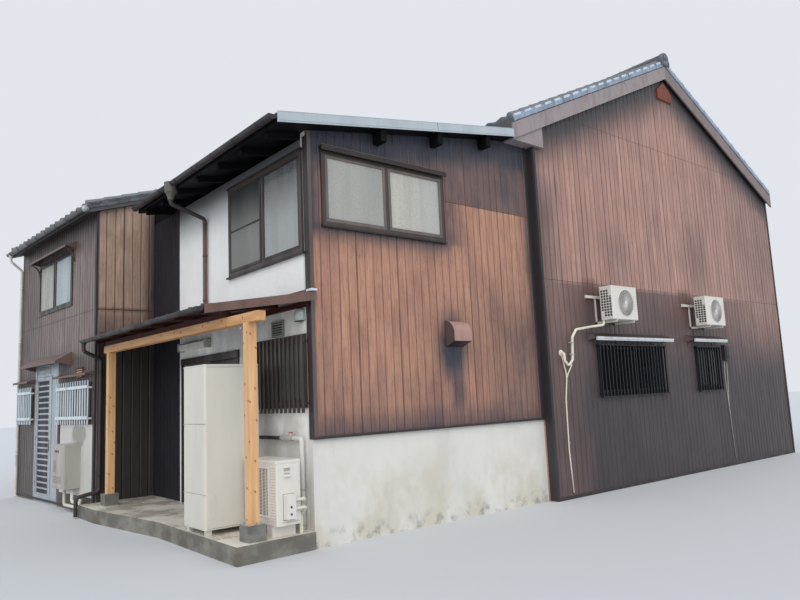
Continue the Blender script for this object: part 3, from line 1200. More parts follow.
def vergeTiles(name, plane, courses, edge, outward, finish):
    # for each course: a hanging apron with a lip at its low end, and a tapered roll on the edge
    course = plane["course"]
    frameOf = {"origin": plane["origin"] + plane["across"] * edge, "along": plane["rise"],
        "out": np.array(outward, float), "up": plane["normal"]}
    rows = []
    for number in range(courses):
        start = number * course
        rows.append((start + 0.004, start + course - 0.002, -0.03, 0.012, -0.066, 0.03))
        rows.append((start - 0.002, start + 0.03, -0.03, 0.018, -0.072, 0.036))
    blocks(name + "Aprons", frameOf, rows, finish, 0.003)
    blocks(name + "Shoulders", frameOf, [
        (k * course + 0.03, (k + 0.72) * course, 0, 0.019, -0.006, 0.034)
        for k in range(courses)], "wetTile" if finish == "vergeTile" else finish, 0.006)
    along, sizes = [], []
    for number in range(courses):
        along += [number * course - 0.004, number * course, (number + 1) * course - 0.008]
        sizes += [0.058, 0.062, 0.05]
    path = (frameOf["origin"] + np.array(along)[:, None] * plane["rise"]
        - np.array(outward, float) * 0.05 + plane["normal"] * 0.022)
    profile = np.array(sizes)[:, None, None] * circle(1.0, 14)[None]
    makeMixed(name + "Rolls", [carryProfile(path, profile)], "roofTile",
        attributes={"tileTint": np.full(len(path) * 14 + 2, 0.9)})


for name, edge, outward in (("", 0, (0, -1, 0)), ("Back", roofWidth - 0.022, (0, 1, 0))):
    vergeTiles("leftVerge" + name, leftPlane, 18, edge, outward, "vergeTile")
    vergeTiles("rightVerge" + name, rightPlane, 15, edge, outward, "vergeTile")


def ridgeStack(name, start, end, half, levels, capRadius, capTop, node):
    # flat layers that step in as they rise, under a half round cap with a collar at each joint
    start, end = np.array(start, float), np.array(end, float)
    run = end - start
    length = np.linalg.norm(run)
    frameOf = {"origin": start, "along": run / length, "out": np.cross(upAxis, run / length)}
    rows = []
    for number, (low, high) in enumerate(zip(levels[:-1], levels[1:])):
        reach = half - 0.012 * number
        count = max(1, round(length / 0.3))
        for item in range(count):
            a = item * length / count
            rows.append((a + 0.0015, a + length / count - 0.0015, -reach, reach, low, high - 0.004))
        rows.append((0, length, -reach + 0.014, reach - 0.014, high - 0.005, high + 0.001))
    stack = blocks(name + "Layers", frameOf, rows, "roofTile", 0.003)
    joints = np.arange(0, length, 0.3)
    along = np.sort(np.concatenate([joints + 0.001, joints + 0.004, joints + 0.034,
                joints + 0.037, [length]]))
    along = along[along <= length]
    local = along % 0.3
    radius = np.where((local > 0.002) & (local < 0.036), capRadius, capRadius - 0.008)
    path = start + along[:, None] * run / length + upAxis * (capTop - capRadius)
    cap = carryProfile(path, radius[:, None, None] * circle(1.0, 18)[None])
    makeMixed(name + "Cap", [cap], "roofTile", attributes={"tileTint": np.full(len(cap[0]), 0.35)})
    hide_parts(node)


ridgePoints = nodePoints("main_ridge")
ridgeLow, ridgeHigh = ridgePoints.min(0), ridgePoints.max(0)
ridgeHalf = (ridgeHigh[0] - ridgeLow[0]) / 2
ridgeStack("mainRidge", (ridgeX, ridgeLow[1] + 0.02, 0), (ridgeX, ridgeHigh[1] - 0.02, 0),
    ridgeHalf, [ridgeLow[2] + rise for rise in (-0.02, 0.075, 0.108, 0.14, 0.17)], 0.075,
    ridgeHigh[2] - 0.002, "main_ridge")


def ridgeEnd(name, place, outward, top):
    # a plain end tile: a shouldered plaque with a round boss, and a small round beside it
    outward = np.array(outward, float)
    across = np.cross(upAxis, outward)
    angles = np.linspace(0, np.pi, 15)
    outline = np.concatenate([[[0.15, -0.12]], np.stack([0.115 * np.cos(angles),
                0.02 + 0.115 * np.sin(angles)], -1), [[-0.15, -0.12]]])
    rings = []
    for depth, scale in ((0, 1.0), (0.05, 1.0), (0.065, 0.86), (0.055, 0.7)):
        flat = outline * scale
        rings.append(place + across * flat[:, :1] + upAxis * (top - 0.14 + flat[:, 1:])
            + outward * depth)
    count = len(outline)
    sides, index, ahead = ringFaces(4, count)
    points = np.concatenate(rings)
    centre = points[-count:].mean(0)
    fan = np.stack([np.full(count, 4 * count), index[-1], ahead[-1]], -1)
    turn = np.linspace(0, np.pi / 2, 6)
    bosses = []
    for shift, lift, size in ((0, -0.115, 0.058), (0.11, -0.2, 0.035)):
        middle = place + across * shift + upAxis * (top + lift)
        path = middle + outward * (0.045 + size * 0.75 * np.sin(turn))[:, None]
        profile = size * np.cos(turn * 0.98)[:, None, None] * circle(1.0, 16)[None]
        bosses.append(carryProfile(path, profile))
    parts = [(np.concatenate([points, [centre]]), sides, fan), *bosses]
    makeMixed(name, parts, "roofTile", attributes={
        "tileTint": np.full(sum(len(p[0]) for p in parts), 0.5)})


ridgeEnd("ridgeEndFront", np.array([ridgeX, ridgeLow[1] + 0.02, 0]), (0, -1, 0), ridgeHigh[2])
ridgeEnd("ridgeEndBack", np.array([ridgeX, ridgeHigh[1] - 0.095, 0]), (0, 1, 0), ridgeHigh[2])

rearAlongArray, rearInward = np.array(rearAlong, float), -np.array(rearOut, float)
rearCorner = np.array(rearOrigin, float)
rearEaveIn, rearVerge, rearRidgeIn = -0.2, 0.12, 2.45
rearRun = math.hypot(1, rearPitch)
rearWidth = rearLength + 2 * rearVerge
rearStart = (rearCorner - rearAlongArray * rearVerge
    + rearInward * rearEaveIn + upAxis * (rearTop + rearPitch * rearEaveIn + 0.13))
rearFrontPlane = slopePlane(rearStart, rearAlong, rearInward + upAxis * rearPitch,
    (rearRidgeIn - rearEaveIn) * rearRun - 0.08, rearWidth, 16, 9)
nearRidgeX = cornerX + rearRidgeIn / math.cos(skewAngle)
rearFarY = nodePoints("rear_roof_front")[:, 1].max()
tileField("rearTilesFront", rearFrontPlane, 16, 9, seed=23,
    clip=lambda c: (c[:, 0] < mainLeft) & (c[:, 1] < rearFarY - 0.03)
    & ~((c[:, 0] > nearRidgeX) & (c[:, 1] < cornerY)))
backReach = 2.6
backStart = (rearCorner - rearAlongArray * rearVerge + rearInward * (rearRidgeIn + backReach)
    + upAxis * (rearTop + rearPitch * (rearRidgeIn - backReach) + 0.13))
rearBackPlane = slopePlane(backStart, rearAlong, -rearInward + upAxis * rearPitch,
    backReach * rearRun - 0.08, rearWidth, 16, 9)
tileField("rearTilesBack", rearBackPlane, 16, 9, seed=24,
    clip=lambda c: (c[:, 0] < mainLeft - 0.02) & (c[:, 1] < rearFarY - 0.03)
    & ~((c[:, 0] > nearRidgeX - 0.2) & (c[:, 1] < cornerY + 0.02)))
vergeTiles("rearVerge", rearFrontPlane, 9, 0, -rearAlongArray, "roofTile")
farRise = np.array([1, 0, rearPitch * math.cos(skewAngle)])
farStart = rearFrontPlane["origin"] + rearAlongArray * (rearWidth - 0.02)
farPlane = slopePlane((farStart[0], rearFarY - 0.02, farStart[2]), (0, 1, 0), farRise,
    (rearRidgeIn - rearEaveIn) * np.linalg.norm(farRise) - 0.08, 1, 1, 9)
vergeTiles("rearVergeFar", farPlane, 9, 0, (0, 1, 0), "roofTile")
ridgeHeightRear = rearTop + rearPitch * rearRidgeIn + 0.13
rearRidgeStart = rearCorner + rearInward * rearRidgeIn
rearRidgeLength = (rearFarY - 0.008 - rearRidgeStart[1]) / math.cos(skewAngle)
ridgeStack("rearRidge", rearRidgeStart, rearRidgeStart + rearAlongArray * rearRidgeLength, 0.1,
    [ridgeHeightRear + rise for rise in (-0.05, 0.035, 0.065)], 0.06,
    ridgeHeightRear + 0.129, "rear_ridge")
print("tiles done")


# Sheet metal roofs: upright seams on the lean-to and on the porch

def slopeFrame(place, rise, way=1):
    # a frame on a slope: way * (1, 0, rise) along it, level across it and square up from it
    run = math.hypot(1, rise)
    return {"origin": np.array(place, float), "along": way * np.array([1, 0, rise]) / run,
        "out": np.array([0.0, -way, 0]), "up": np.array([-rise, 0, 1]) / run}


wingRoofPoints = nodePoints("wing_roof")
wingRoofLow, wingRoofHigh = wingRoofPoints.min(0), wingRoofPoints.max(0)
wingLowTop = wingRoofPoints[np.abs(wingRoofPoints[:, 0] - wingRoofLow[0]) < 0.002][:, 2].max()
wingRise = (wingRoofHigh[2] - wingLowTop) / (wingRoofHigh[0] - wingRoofLow[0])
wingSlope = slopeFrame((wingRoofLow[0], 0, wingLowTop), wingRise)
seams = np.arange(wingRoofLow[1] + 0.2, wingRoofHigh[1] - 0.05, 0.42)
wingLength = (wingRoofHigh[0] - wingRoofLow[0]) * math.hypot(1, wingRise)
blocks("wingRoofSeams", wingSlope, [(0.0 if y < 4.2 else 0.52, wingLength, -y - 0.009, -y + 0.009,
            0, 0.026) for y in seams], "roofSteel", 0.002)
trimFace = -nodePoints("roof_trims")[:, 1].min()
blocks("wingVergeHem", wingSlope, [
    (0.002, wingLength - 0.01, trimFace, trimFace + 0.004, -0.088, -0.079),
    (0.002, wingLength - 0.01, trimFace - 0.004, trimFace + 0.003, 0.012, 0.018)], "roofSteel", 0.001)
blocks("wingVergeJoint", wingSlope, [
    (2.47, 2.476, trimFace, trimFace + 0.001, -0.079, 0.012)], "darkTrim", 0)
vergeBeams = [(x, float(wingUnder(x))) for x in (1.042, 2.02, 2.973)]
blocks("wingVergeBeams", "street", [(x - 0.045, x + 0.045, 0, 0.19, under - 0.16, under + 0.01)
        for x, under in vergeBeams], "soffitBoards", 0.004)
porchRoof = nodePoints("porch_roof")
porchSlope = slopeFrame((0, 0, porchRoof[:, 2].max()), 0.1, -1)
blocks("porchRoofSeams", porchSlope, [
    (0, 1.0 + 0.1 * (y - 0.6) / 4.3, y - 0.008, y + 0.008, 0, 0.02)
    for y in np.arange(0.71, 4.8, 0.33)], "brownSteel", 0.002)
blocks("porchWallFlashing", "plaster", [
    (-0.14, 3.8, 0, 0.014, porchRoof[:, 2].max() - 0.002, porchRoof[:, 2].max() + 0.05)],
    "brownSteel")
print("metal roofs done")


# Cases, grilles and other fixed plant

def roundedCase(name, low, high, radius, edge, finish):
    # rounded rectangle outlines stacked upwards; each level is a height and an inset of the edge
    low, high = np.array(low, float), np.array(high, float)
    turn = np.linspace(0, np.pi / 2, 5)
    middle, reach = (low[:2] + high[:2]) / 2, (high[:2] - low[:2]) / 2
    levels = [(low[2], edge), (low[2] + edge * 0.35, edge * 0.3), (low[2] + edge, 0),
        (high[2] - edge, 0), (high[2] - edge * 0.35, edge * 0.3), (high[2], edge)]
    rings = []
    for height, inset in levels:
        bend = max(radius - inset, 0.002)
        outline = []
        for quarter, sign in enumerate(((1, 1), (-1, 1), (-1, -1), (1, -1))):
            angle = turn + quarter * np.pi / 2
            centre = middle + np.array(sign) * (reach - inset - bend)
            outline.append(centre + bend * np.stack([np.cos(angle), np.sin(angle)], -1))
        outline = np.concatenate(outline)
        rings.append(np.column_stack([outline, np.full(len(outline), height)]))
    return makeMixed(name, [closeRings(np.array(rings))], finish, smooth=False)


def slotRows(across, up, columns, rows, share, out):
    # columns by rows of flat boxes: each fills its own share of the cell it sits in
    (a0, a1), (z0, z1) = across, up
    wide, tall = (a1 - a0) / columns, (z1 - z0) / rows
    return [(a0 + c * wide, a0 + (c + share[0]) * wide, *out, z0 + r * tall,
            z0 + (r + share[1]) * tall) for c in range(columns) for r in range(rows)]


def wallRing(wall, centre, radius, out, wire, turns=40, sides=6):
    # a closed hoop: a = a0 + r cos t, z = z0 + r sin t
    angle = np.linspace(0, 2 * np.pi, turns + 1)
    path = onWall(wall, centre[0] + radius * np.cos(angle), out, centre[1] + radius * np.sin(angle))
    return carryProfile(path, circle(wire, sides))


def wallDisc(wall, centre, radius, out, sides=32):
    # a domed disc: rings of shrinking radius, each a little further out
    steps = [(1.0, 0), (0.97, 1.0), (0.6, 1.15), (0.02, 1.2)]
    angle = np.linspace(0, 2 * np.pi, sides, endpoint=False)
    rings = [onWall(wall, centre[0] + radius * k * np.cos(angle), out[0] + (out[1] - out[0]) * lift,
            centre[1] + radius * k * np.sin(angle)) for k, lift in steps]
    quads = ringFaces(len(steps), sides)[0]
    frameOf = wallOf(wall)
    turned = np.dot(np.cross(frameOf["along"], upAxis), frameOf["out"]) < 0
    return np.concatenate(rings), quads[:, ::-1] if turned else quads


def fanGrille(name, wall, centre, radius, out):
    # swept blades: the angle turns by 0.9 radians as the radius grows from the hub to the rim
    reach = np.linspace(0.16, 0.97, 7)
    blades = []
    for start in np.linspace(0, 2 * np.pi, 44, endpoint=False):
        angle = start + 0.9 * (reach - 0.16)
        bulge = out + 0.004 * np.sin(np.pi * reach)
        path = onWall(wall, centre[0] + radius * reach * np.cos(angle), bulge,
            centre[1] + radius * reach * np.sin(angle))
        blades.append(carryProfile(path, circle(0.0035, 5)))
    hoops = [wallRing(wall, centre, radius * k, out + 0.001, 0.003) for k in (0.4, 0.62, 0.82)]
    makeMixed(name + "Blades", blades + hoops, "fanWire")
    makeMixed(name + "Rim", [wallRing(wall, centre, radius, out, 0.007, 48, 8),
            wallDisc(wall, centre, radius * 0.17, (out - 0.002, out + 0.005))], "whitePlastic")
    makeMixed(name + "Well", [wallDisc(wall, centre, radius * 0.97, (out - 0.004, out - 0.0035))],
        "wellGrey")


unitValues = {"lefts": unitLefts, "width": 0.7, "foot": 2.655, "top": 3.19, "front": 0.408,
    "back": 0.171, "fan": (0.365, 0.27), "radius": 0.212}


def wallUnit(number, left):
    # case, fan grille, side grille, groove lines and angle brackets of one outdoor unit
    name, right = f"wallUnit{number}", left + unitValues["width"]
    foot, top, out = (unitValues[key] for key in ("foot", "top", "front"))
    front, back = gableFace - out, gableFace - unitValues["back"]
    case = roundedCase(name + "Case", (left, front, foot), (right, back, top - 0.006), 0.022, 0.012,
        "creamCase")
    roundedCase(name + "Lid", (left - 0.003, front - 0.003, top - 0.03),
        (right + 0.003, back + 0.003, top), 0.024, 0.008, "creamCase")
    fanA, fanZ = unitValues["fan"]
    fanGrille(name, "gable", (left + fanA, foot + fanZ), unitValues["radius"], out + 0.004)
    sideWall = wallFrame((left, gableFace, 0), (0, -1, 0), (-1, 0, 0))
    low, high = foot + 0.045, top - 0.05
    blocks(name + "SideDark", sideWall, [(0.192, 0.388, -0.001, 0.001, low, high)], "slotDark", 0)
    rows = [(0.192 + 0.049 * k, 0.202 + 0.049 * k, 0, 0.005, low, high) for k in range(5)]
    rows += [(0.192, 0.396, 0, 0.004, z, z + 0.011) for z in np.linspace(low, high - 0.011, 11)]
    rows += [(0.336, 0.397, 0, 0.006, high - 0.11, high), (0.192, 0.24, 0, 0.006, low, low + 0.1)]
    blocks(name + "SideGrille", sideWall, rows, "creamCase", 0.001)
    groove = (out - 0.002, out + 0.0008)
    blocks(name + "Lines", "gable", [(left + 0.602, left + 0.604, *groove, foot + 0.02, top - 0.035)]
        + [(left + 0.615, left + 0.683, *groove, z, z + 0.0025)
            for z in np.arange(foot + 0.1, top - 0.12, 0.04)], "seamGrey", 0)
    arms, rail = (left + 0.09, left + 0.57), foot + 0.375
    rows = []
    for a in arms:
        rows += [(a, a + 0.04, 0, 0.408, foot - 0.006, foot),
            (a, a + 0.006, 0, 0.408, foot - 0.04, foot),
            (a, a + 0.006, 0, 0.04, foot - 0.04, rail), (a, a + 0.04, 0, 0.006, foot - 0.04, rail),
            (a - 0.01, a + 0.05, 0.2, 0.25, foot - 0.001, foot + 0.012),
            (a - 0.01, a + 0.05, 0.35, 0.39, foot - 0.001, foot + 0.012)]
    rows += [(left - 0.15, right, 0, 0.044, rail - 0.002, rail + 0.042),
        (left - 0.156, left - 0.146, 0, 0.05, rail - 0.006, rail + 0.046)]
    blocks(name + "Bracket", "gable", rows, "creamCase", 0.0015)
    blocks(name + "Bolts", "gable", [(a + 0.022, a + 0.034, 0.006, 0.013, z, z + 0.012) for a in arms
            for z in (foot + 0.04, foot + 0.2, foot + 0.34)], "hoodGalvanised", 0.002)
    return case


for number, left in enumerate(unitValues["lefts"]):
    unitCase = wallUnit(number, left)
    if number == 0:
        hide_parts("wall_units")

tankLow, tankHigh = nodePoints("hot_water_tank").min(0), nodePoints("hot_water_tank").max(0)
tankFace = wallFrame((tankLow[0], tankLow[1], 0), (0, 1, 0), (-1, 0, 0))
tankSide = wallFrame((tankLow[0], tankLow[1], 0), (1, 0, 0), (0, -1, 0))
blocks("tankFrontPanels", tankFace, [
    (0.028, 0.572, -0.004, 0.003, 1.403, 2.034), (0.028, 0.572, -0.004, 0.003, 0.632, 1.396),
    (0.028, 0.572, -0.004, 0.003, 0.262, 0.625)], "tankCase", 0.002)
blocks("tankFlap", tankFace, [(0.1, 0.5, 0.003, 0.0042, 0.3, 0.363)], "tankCase", 0.001)
blocks("tankSeams", tankSide, [
    (0.03, 0.65, -0.001, 0.0006, 2.032, 2.038), (0.03, 0.65, -0.001, 0.0006, 0.262, 0.268)],
    "seamGrey", 0)
blocks("tankFrontSeams", tankFace, [(0, 0.6, -0.006, 0.0008, z, z + 0.006)
        for z in (0.626, 1.3965)], "seamGrey", 0)
blocks("tankCover", tankSide, [(0.03, 0.115, -0.002, 0.004, 0.37, 0.64)], "tankCase", 0.003)
roundedCase("tankLid", (tankLow[0] - 0.004, tankLow[1] - 0.004, 2.046),
    (tankHigh[0] + 0.004, tankHigh[1] + 0.004, tankHigh[2] + 0.006), 0.028, 0.006, "tankCase")
blocks("tankScrews", tankFace, [(a, a + 0.01, 0.003, 0.0055, z, z + 0.01)
        for a in (0.04, 0.55) for z in (0.29, 0.6, 0.66, 1.37)], "hoodGalvanised", 0.002)
blocks("tankFeet", tankSide, [(a, a + 0.09, -y - 0.09, -y, 0.19, 0.202) for a in (0.045, 0.545)
        for y in (0.045, 0.465)], "hoodGalvanised", 0.003)

pumpPlace = (-0.5, -0.04)
pumpFace = wallFrame((*pumpPlace, 0), (0, 1, 0), (-1, 0, 0))
pumpSide = wallFrame((*pumpPlace, 0), (1, 0, 0), (0, -1, 0))
roundedCase("pumpLid", (-0.504, -0.044, 0.955), (-0.196, 0.704, 0.991), 0.024, 0.008, "creamCase")
blocks("pumpGrilleFrame", pumpFace, border((0.15, 0.56), (0.388, 0.922), (0, 0.014), 0.022,
        0.022, 0.022), "creamCase", 0.004)
blocks("pumpGrilleWell", pumpFace, [(0.172, 0.538, -0.001, 0.0015, 0.41, 0.9)], "slotDark", 0)
blocks("pumpGrilleBars", pumpFace,
    slotRows((0.172, 0.538), (0.41, 0.9), 1, 32, (1.0, 0.42), (0.0015, 0.008))
    + [(a, a + 0.012, 0.0015, 0.011, 0.41, 0.9) for a in (0.215, 0.29, 0.365, 0.44, 0.505)],
    "creamCase", 0)
blocks("pumpLines", pumpFace, slotRows((0.024, 0.132), (0.36, 0.94), 1, 20, (1.0, 0.1),
        (-0.001, 0.0008)) + [(0.61, 0.612, -0.001, 0.0008, 0.33, 0.95)], "seamGrey", 0)
blocks("pumpPanel", pumpSide, [(0.06, 0.276, -0.002, 0.003, 0.35, 0.944)], "creamCase", 0.002)
blocks("pumpHandles", pumpSide, [
    (0.084, 0.172, 0.003, 0.022, 0.905, 0.932), (0.084, 0.172, 0.003, 0.026, 0.812, 0.842)],
    "creamCase", 0.008)
blocks("pumpHandleWells", pumpSide, [
    (0.092, 0.164, 0.003, 0.0045, 0.876, 0.903), (0.092, 0.164, 0.003, 0.0045, 0.843, 0.858),
    (0.06, 0.276, -0.001, 0.0035, 0.346, 0.35)], "greyCase", 0)
makeMixed("pumpPorts", [wallDisc(pumpSide, (0.143, z), 0.013, (0.06, 0.0615), 16)
        for z in (0.43, 0.505)], "darkInside")
blocks("pumpCoverLip", pumpSide, [(0.079, 0.206, 0, 0.012, 0.374, 0.636)], "whitePlastic", 0.004)
blocks("pumpCoverJoint", pumpSide, [(0.073, 0.212, 0, 0.0042, 0.366, 0.641)], "wellGrey", 0.001)
blocks("pumpFeet", pumpFace, [(a, a + 0.13, -0.29, -0.01, 0.308, 0.322) for a in (0.115, 0.495)],
    "darkInside", 0.002)
pipeX, pipeZ = -0.055, 1.19
pipes("wallPipeSleeve", [([(pipeX, 0.6, pipeZ), (pipeX, 0.165, pipeZ), (pipeX, 0.165, 0.2)],
     0.027, 0.035)], "whitePlastic")
pipes("wallPipeBare", [([(pipeX, 1.27, pipeZ), (pipeX, 0.6, pipeZ)], 0.0215, 0.03)], "darkTrim")
pipes("wallPipeCollars", [([(pipeX, 0.165, z), (pipeX, 0.165, z + 0.022)], 0.031, 0.01)
        for z in (0.62, 0.24)] + [([(pipeX, 0.61, pipeZ), (pipeX, 0.588, pipeZ)], 0.03, 0.01),
        ([(pipeX, 0.36, pipeZ), (pipeX, 0.33, pipeZ)], 0.031, 0.01)], "greyCase")
pipes("wallPipeValve", [([(pipeX, 0.4, 1.2), (pipeX, 0.4, 1.25)], 0.011, 0.01)], "hoodGalvanised")
blocks("wallPipeHandle", "plaster", [(0.365, 0.435, 0.045, 0.065, 1.248, 1.262)], "redPaint", 0.004)
pipes("hoseCollars", [([(x, -0.07, z), (x + 0.02, -0.07, z)], 0.021, 0.01)
        for x in (-0.296, -0.2) for z in (0.57, 0.48)], "whitePlastic")
print("units, tank and heat pump done")

# Gas heater with its white board
rearWall = walls["rear"]
heaterFace = {**rearWall, "origin": rearWall["origin"] + 0.27 * rearWall["out"]}
blocks("heaterCover", heaterFace, [(0.574, 1.096, -0.004, 0.006, 0.398, 1.062)], "greyCase", 0.005)
blocks("heaterSlot", heaterFace, [(0.8, 0.98, 0.006, 0.0075, 0.955, 0.988)], "darkInside", 0)
blocks("heaterSlotLips", heaterFace, [(0.79, 0.99, 0.005, 0.018, 0.988, 0.994),
    (0.79, 0.99, 0.005, 0.012, 0.949, 0.955), (0.84, 0.852, 0.005, 0.012, 0.955, 0.988),
    (0.92, 0.932, 0.005, 0.012, 0.955, 0.988)], "greyCase", 0.001)
blocks("heaterVents", heaterFace,
    slotRows((0.93, 1.075), (0.64, 0.83), 3, 14, (0.72, 0.45), (0.006, 0.007))
    + slotRows((0.68, 1.075), (0.47, 0.585), 6, 5, (0.8, 0.4), (0.006, 0.007)), "ventDark", 0)
blocks("heaterScrews", heaterFace, [(s, s + 0.012, 0.006, 0.009, z, z + 0.012)
        for s in (0.59, 1.07) for z in (0.415, 1.035)], "hoodGalvanised", 0.003)
heaterPipes = 0.11
pipes("heaterStubs", [(wallPath("rear", [(s, heaterPipes, 0.4), (s, heaterPipes, 0.335)]), r, 0.01)
        for s, r in ((1.01, 0.024), (0.65, 0.024), (0.8, 0.014), (0.9, 0.011))], "hoodGalvanised")
heaterRuns = (((1.01, 0.36), (1.01, 0.1), (0.14, 0.1)),
    ((0.65, 0.36), (0.65, 0.17), (0.27, 0.17), (0.27, 0.3), (0.14, 0.3)))
pipes("heaterSleeves", [(wallPath("rear", [(s, heaterPipes, z) for s, z in run]), 0.025, 0.05)
        for run in heaterRuns], "creamPipe")
blocks("heaterHangers", "rear", [(0.75, 0.92, 0, 0.02, 1.08, 1.13),
        (0.75, 0.92, 0, 0.02, 0.33, 0.38)], "greyCase", 0.003)
panelS = np.linspace(0.07, 1.57, 61)
panelZ = np.linspace(0.26, 1.385, 46)
gridS, gridZ = np.meshgrid(panelS, panelZ)
lobes = [fall(np.hypot((gridS - s) / 0.22, (gridZ - z) / 0.17), 0.4, 1.3)
    for s, z in ((0.54, 1.23), (0.78, 1.23))]
lobes.append(fall(np.abs(gridS - 0.66) / 0.25, 0.5, 1.0) * fall(gridZ, 1.15, 1.28)
    * fall(-gridZ, -1.1, -0.98))
makePiece("heaterBoard", onWall("rear", gridS, 0.0145, gridZ).reshape(-1, 3),
    gridFaces(*gridS.shape, flip=True), "stainedPanel",
    attributes={"stain": np.maximum.reduce(lobes).ravel()})
blocks("heaterBoardEdge", "rear", [
    (0.066, 0.07, 0, 0.0165, 0.255, 1.39), (1.57, 1.574, 0, 0.0165, 0.255, 1.39),
    (0.07, 1.57, 0, 0.0165, 0.255, 0.262)], "whitePlastic", 0.001)
blocks("heaterBoardTrim", "rear", [(0.05, 1.6, 0, 0.03, 1.385, 1.41),
        (1.6, 1.69, 0, 0.028, 1.08, 1.41)], "rustSteel", 0.003)
blocks("cornerLouvreBack", "rear", [(0.52, 0.81, 0.008, 0.013, 2.15, 2.3)], "darkInside", 0)
blocks("cornerLouvreSlats", "rear", [(0.53, 0.8, 0.012, 0.03, z, z + 0.022)
        for z in (2.158, 2.196, 2.234, 2.272)], "brassSlat", 0.003)
blocks("cornerLouvreCap", "rear", [(0.5, 0.83, 0.008, 0.05, 2.3, 2.316),
        (0.515, 0.53, 0.008, 0.032, 2.145, 2.3),
        (0.8, 0.815, 0.008, 0.032, 2.145, 2.3)], "rustSteel", 0.003)

# Rear door: glass between the slats, its furniture, the side strip and the pane above
doorLeft, doorRight, doorFoot, doorHead = 2.1699, 2.9699, 0.06, 2.25
blocks("doorGlass", "rear", [(doorLeft + 0.071, doorRight - 0.071, -0.0158, -0.0148,
            doorFoot + 0.071, doorHead - 0.071)], "doorDark", 0, doorBody)
blocks("doorBeads", "rear", [
    (doorLeft + 0.062, doorLeft + 0.072, 0, 0.009, doorFoot + 0.06, doorHead - 0.06),
    (doorRight - 0.072, doorRight - 0.062, 0, 0.009, doorFoot + 0.06, doorHead - 0.06),
    (doorLeft + 0.072, doorRight - 0.072, 0, 0.009, doorHead - 0.072, doorHead - 0.06),
    (doorLeft + 0.072, doorRight - 0.072, 0, 0.009, doorFoot + 0.06, doorFoot + 0.072)],
    "silverFrame", 0.002, doorBody)
blocks("doorLockPlate", "rear", [(doorLeft + 0.016, doorLeft + 0.052, 0.004, 0.012, 0.92, 1.12)],
    "sashBronze", 0.003, doorBody)
pipes("doorLever", [(wallPath("rear", [(doorLeft + 0.034, 0.01, 0.98), (doorLeft + 0.034, 0.05, 0.98),
            (doorLeft + 0.15, 0.052, 0.975)]), 0.009, 0.02),
    (wallPath("rear", [(doorLeft + 0.034, 0.008, 1.075), (doorLeft + 0.034, 0.022, 1.075)]),
     0.012, 0.005)], "silverFrame", doorBody)
stripLeft, stripRight, frameHead = 1.7199, 2.155, 2.48
blocks("doorSideStrip", "rear", [
    (stripLeft + 0.012, stripLeft + 0.055, 0, 0.016, 0.02, frameHead - 0.02),
    (stripRight - 0.045, stripRight, 0, 0.012, 0.02, 2.262),
    (stripLeft + 0.055, stripRight - 0.045, 0, 0.006, 0.1, 0.14),
    (stripLeft + 0.055, stripRight - 0.045, 0, 0.006, 2.26, 2.3),
    (2.985, 3.038, 0, 0.014, 0.02, frameHead - 0.02),
    *border((2.2, 2.94), (2.282, 2.466), (0, 0.01), 0.02, 0.018, 0.02)], "silverFrame", 0.003)
blocks("doorTransomPane", "rear", [(2.22, 2.92, 0.001, 0.003, 2.3, 2.446)], "frostedSide", 0)
blocks("doorSideGroove", "rear", [(stripLeft + 0.16, stripLeft + 0.164, -0.001, 0.0008, 0.14, 2.26),
    (stripRight + 0.002, stripRight + 0.006, -0.001, 0.0008, 0.07, 2.258)], "darkTrim", 0)
print("heater and rear door done")

# Entrance: head, jambs and two sliding leaves of frosted glass behind upright bars
(el, ef), (er, eh) = (1.85, 0.19), (3.65, 2.22)
middleY = 0.5 * (el + er)
blocks("entranceFrame", "plaster", [(el - 0.08, er + 0.05, -0.02, 0.03, eh - 0.003, eh + 0.1),
    (el - 0.07, el, -0.02, 0.022, ef, eh), (er, er + 0.05, -0.02, 0.022, ef, eh)], "bronzeFrame", 0.004)
leafBars, leafLattice, leafPanes = [], [], []
for left, right, out in ((el + 0.002, middleY + 0.02, -0.03), (middleY - 0.02, er - 0.002, -0.064)):
    low, high, bar = ef + 0.02, eh - 0.02, (out, out + 0.01)
    leafBars += [*border((left, right), (low, high), bar, 0.06, 0.14, 0.07),
        (left + 0.06, right - 0.06, *bar, 1.0, 1.05)]
    leafPanes.append((left + 0.06, right - 0.06, out, out + 0.002, low + 0.14, high - 0.07))
    leafLattice += [(a, a + 0.014, out + 0.001, out + 0.013, low + 0.14, high - 0.07)
        for a in np.linspace(left + 0.06, right - 0.075, 12)[1:-1]]
blocks("entranceLeafBars", "plaster", leafBars, "bronzeFrame", 0.003)
blocks("entranceLeafLattice", "plaster", leafLattice, "bronzeFrame", 0.0015)
blocks("entranceLeafPanes", "plaster", leafPanes, "frostedSide", 0)
blocks("entrancePulls", "plaster", [(middleY - 0.075, middleY - 0.05, -0.021, -0.019, 1.0, 1.14),
    (er - 0.05, er - 0.025, -0.055, -0.053, 1.0, 1.14)], "silverFrame", 0.001)
blocks("entranceSill", "plaster", [(el, er, -0.06, -0.002, ef, ef + 0.02)], "silverFrame", 0.003)

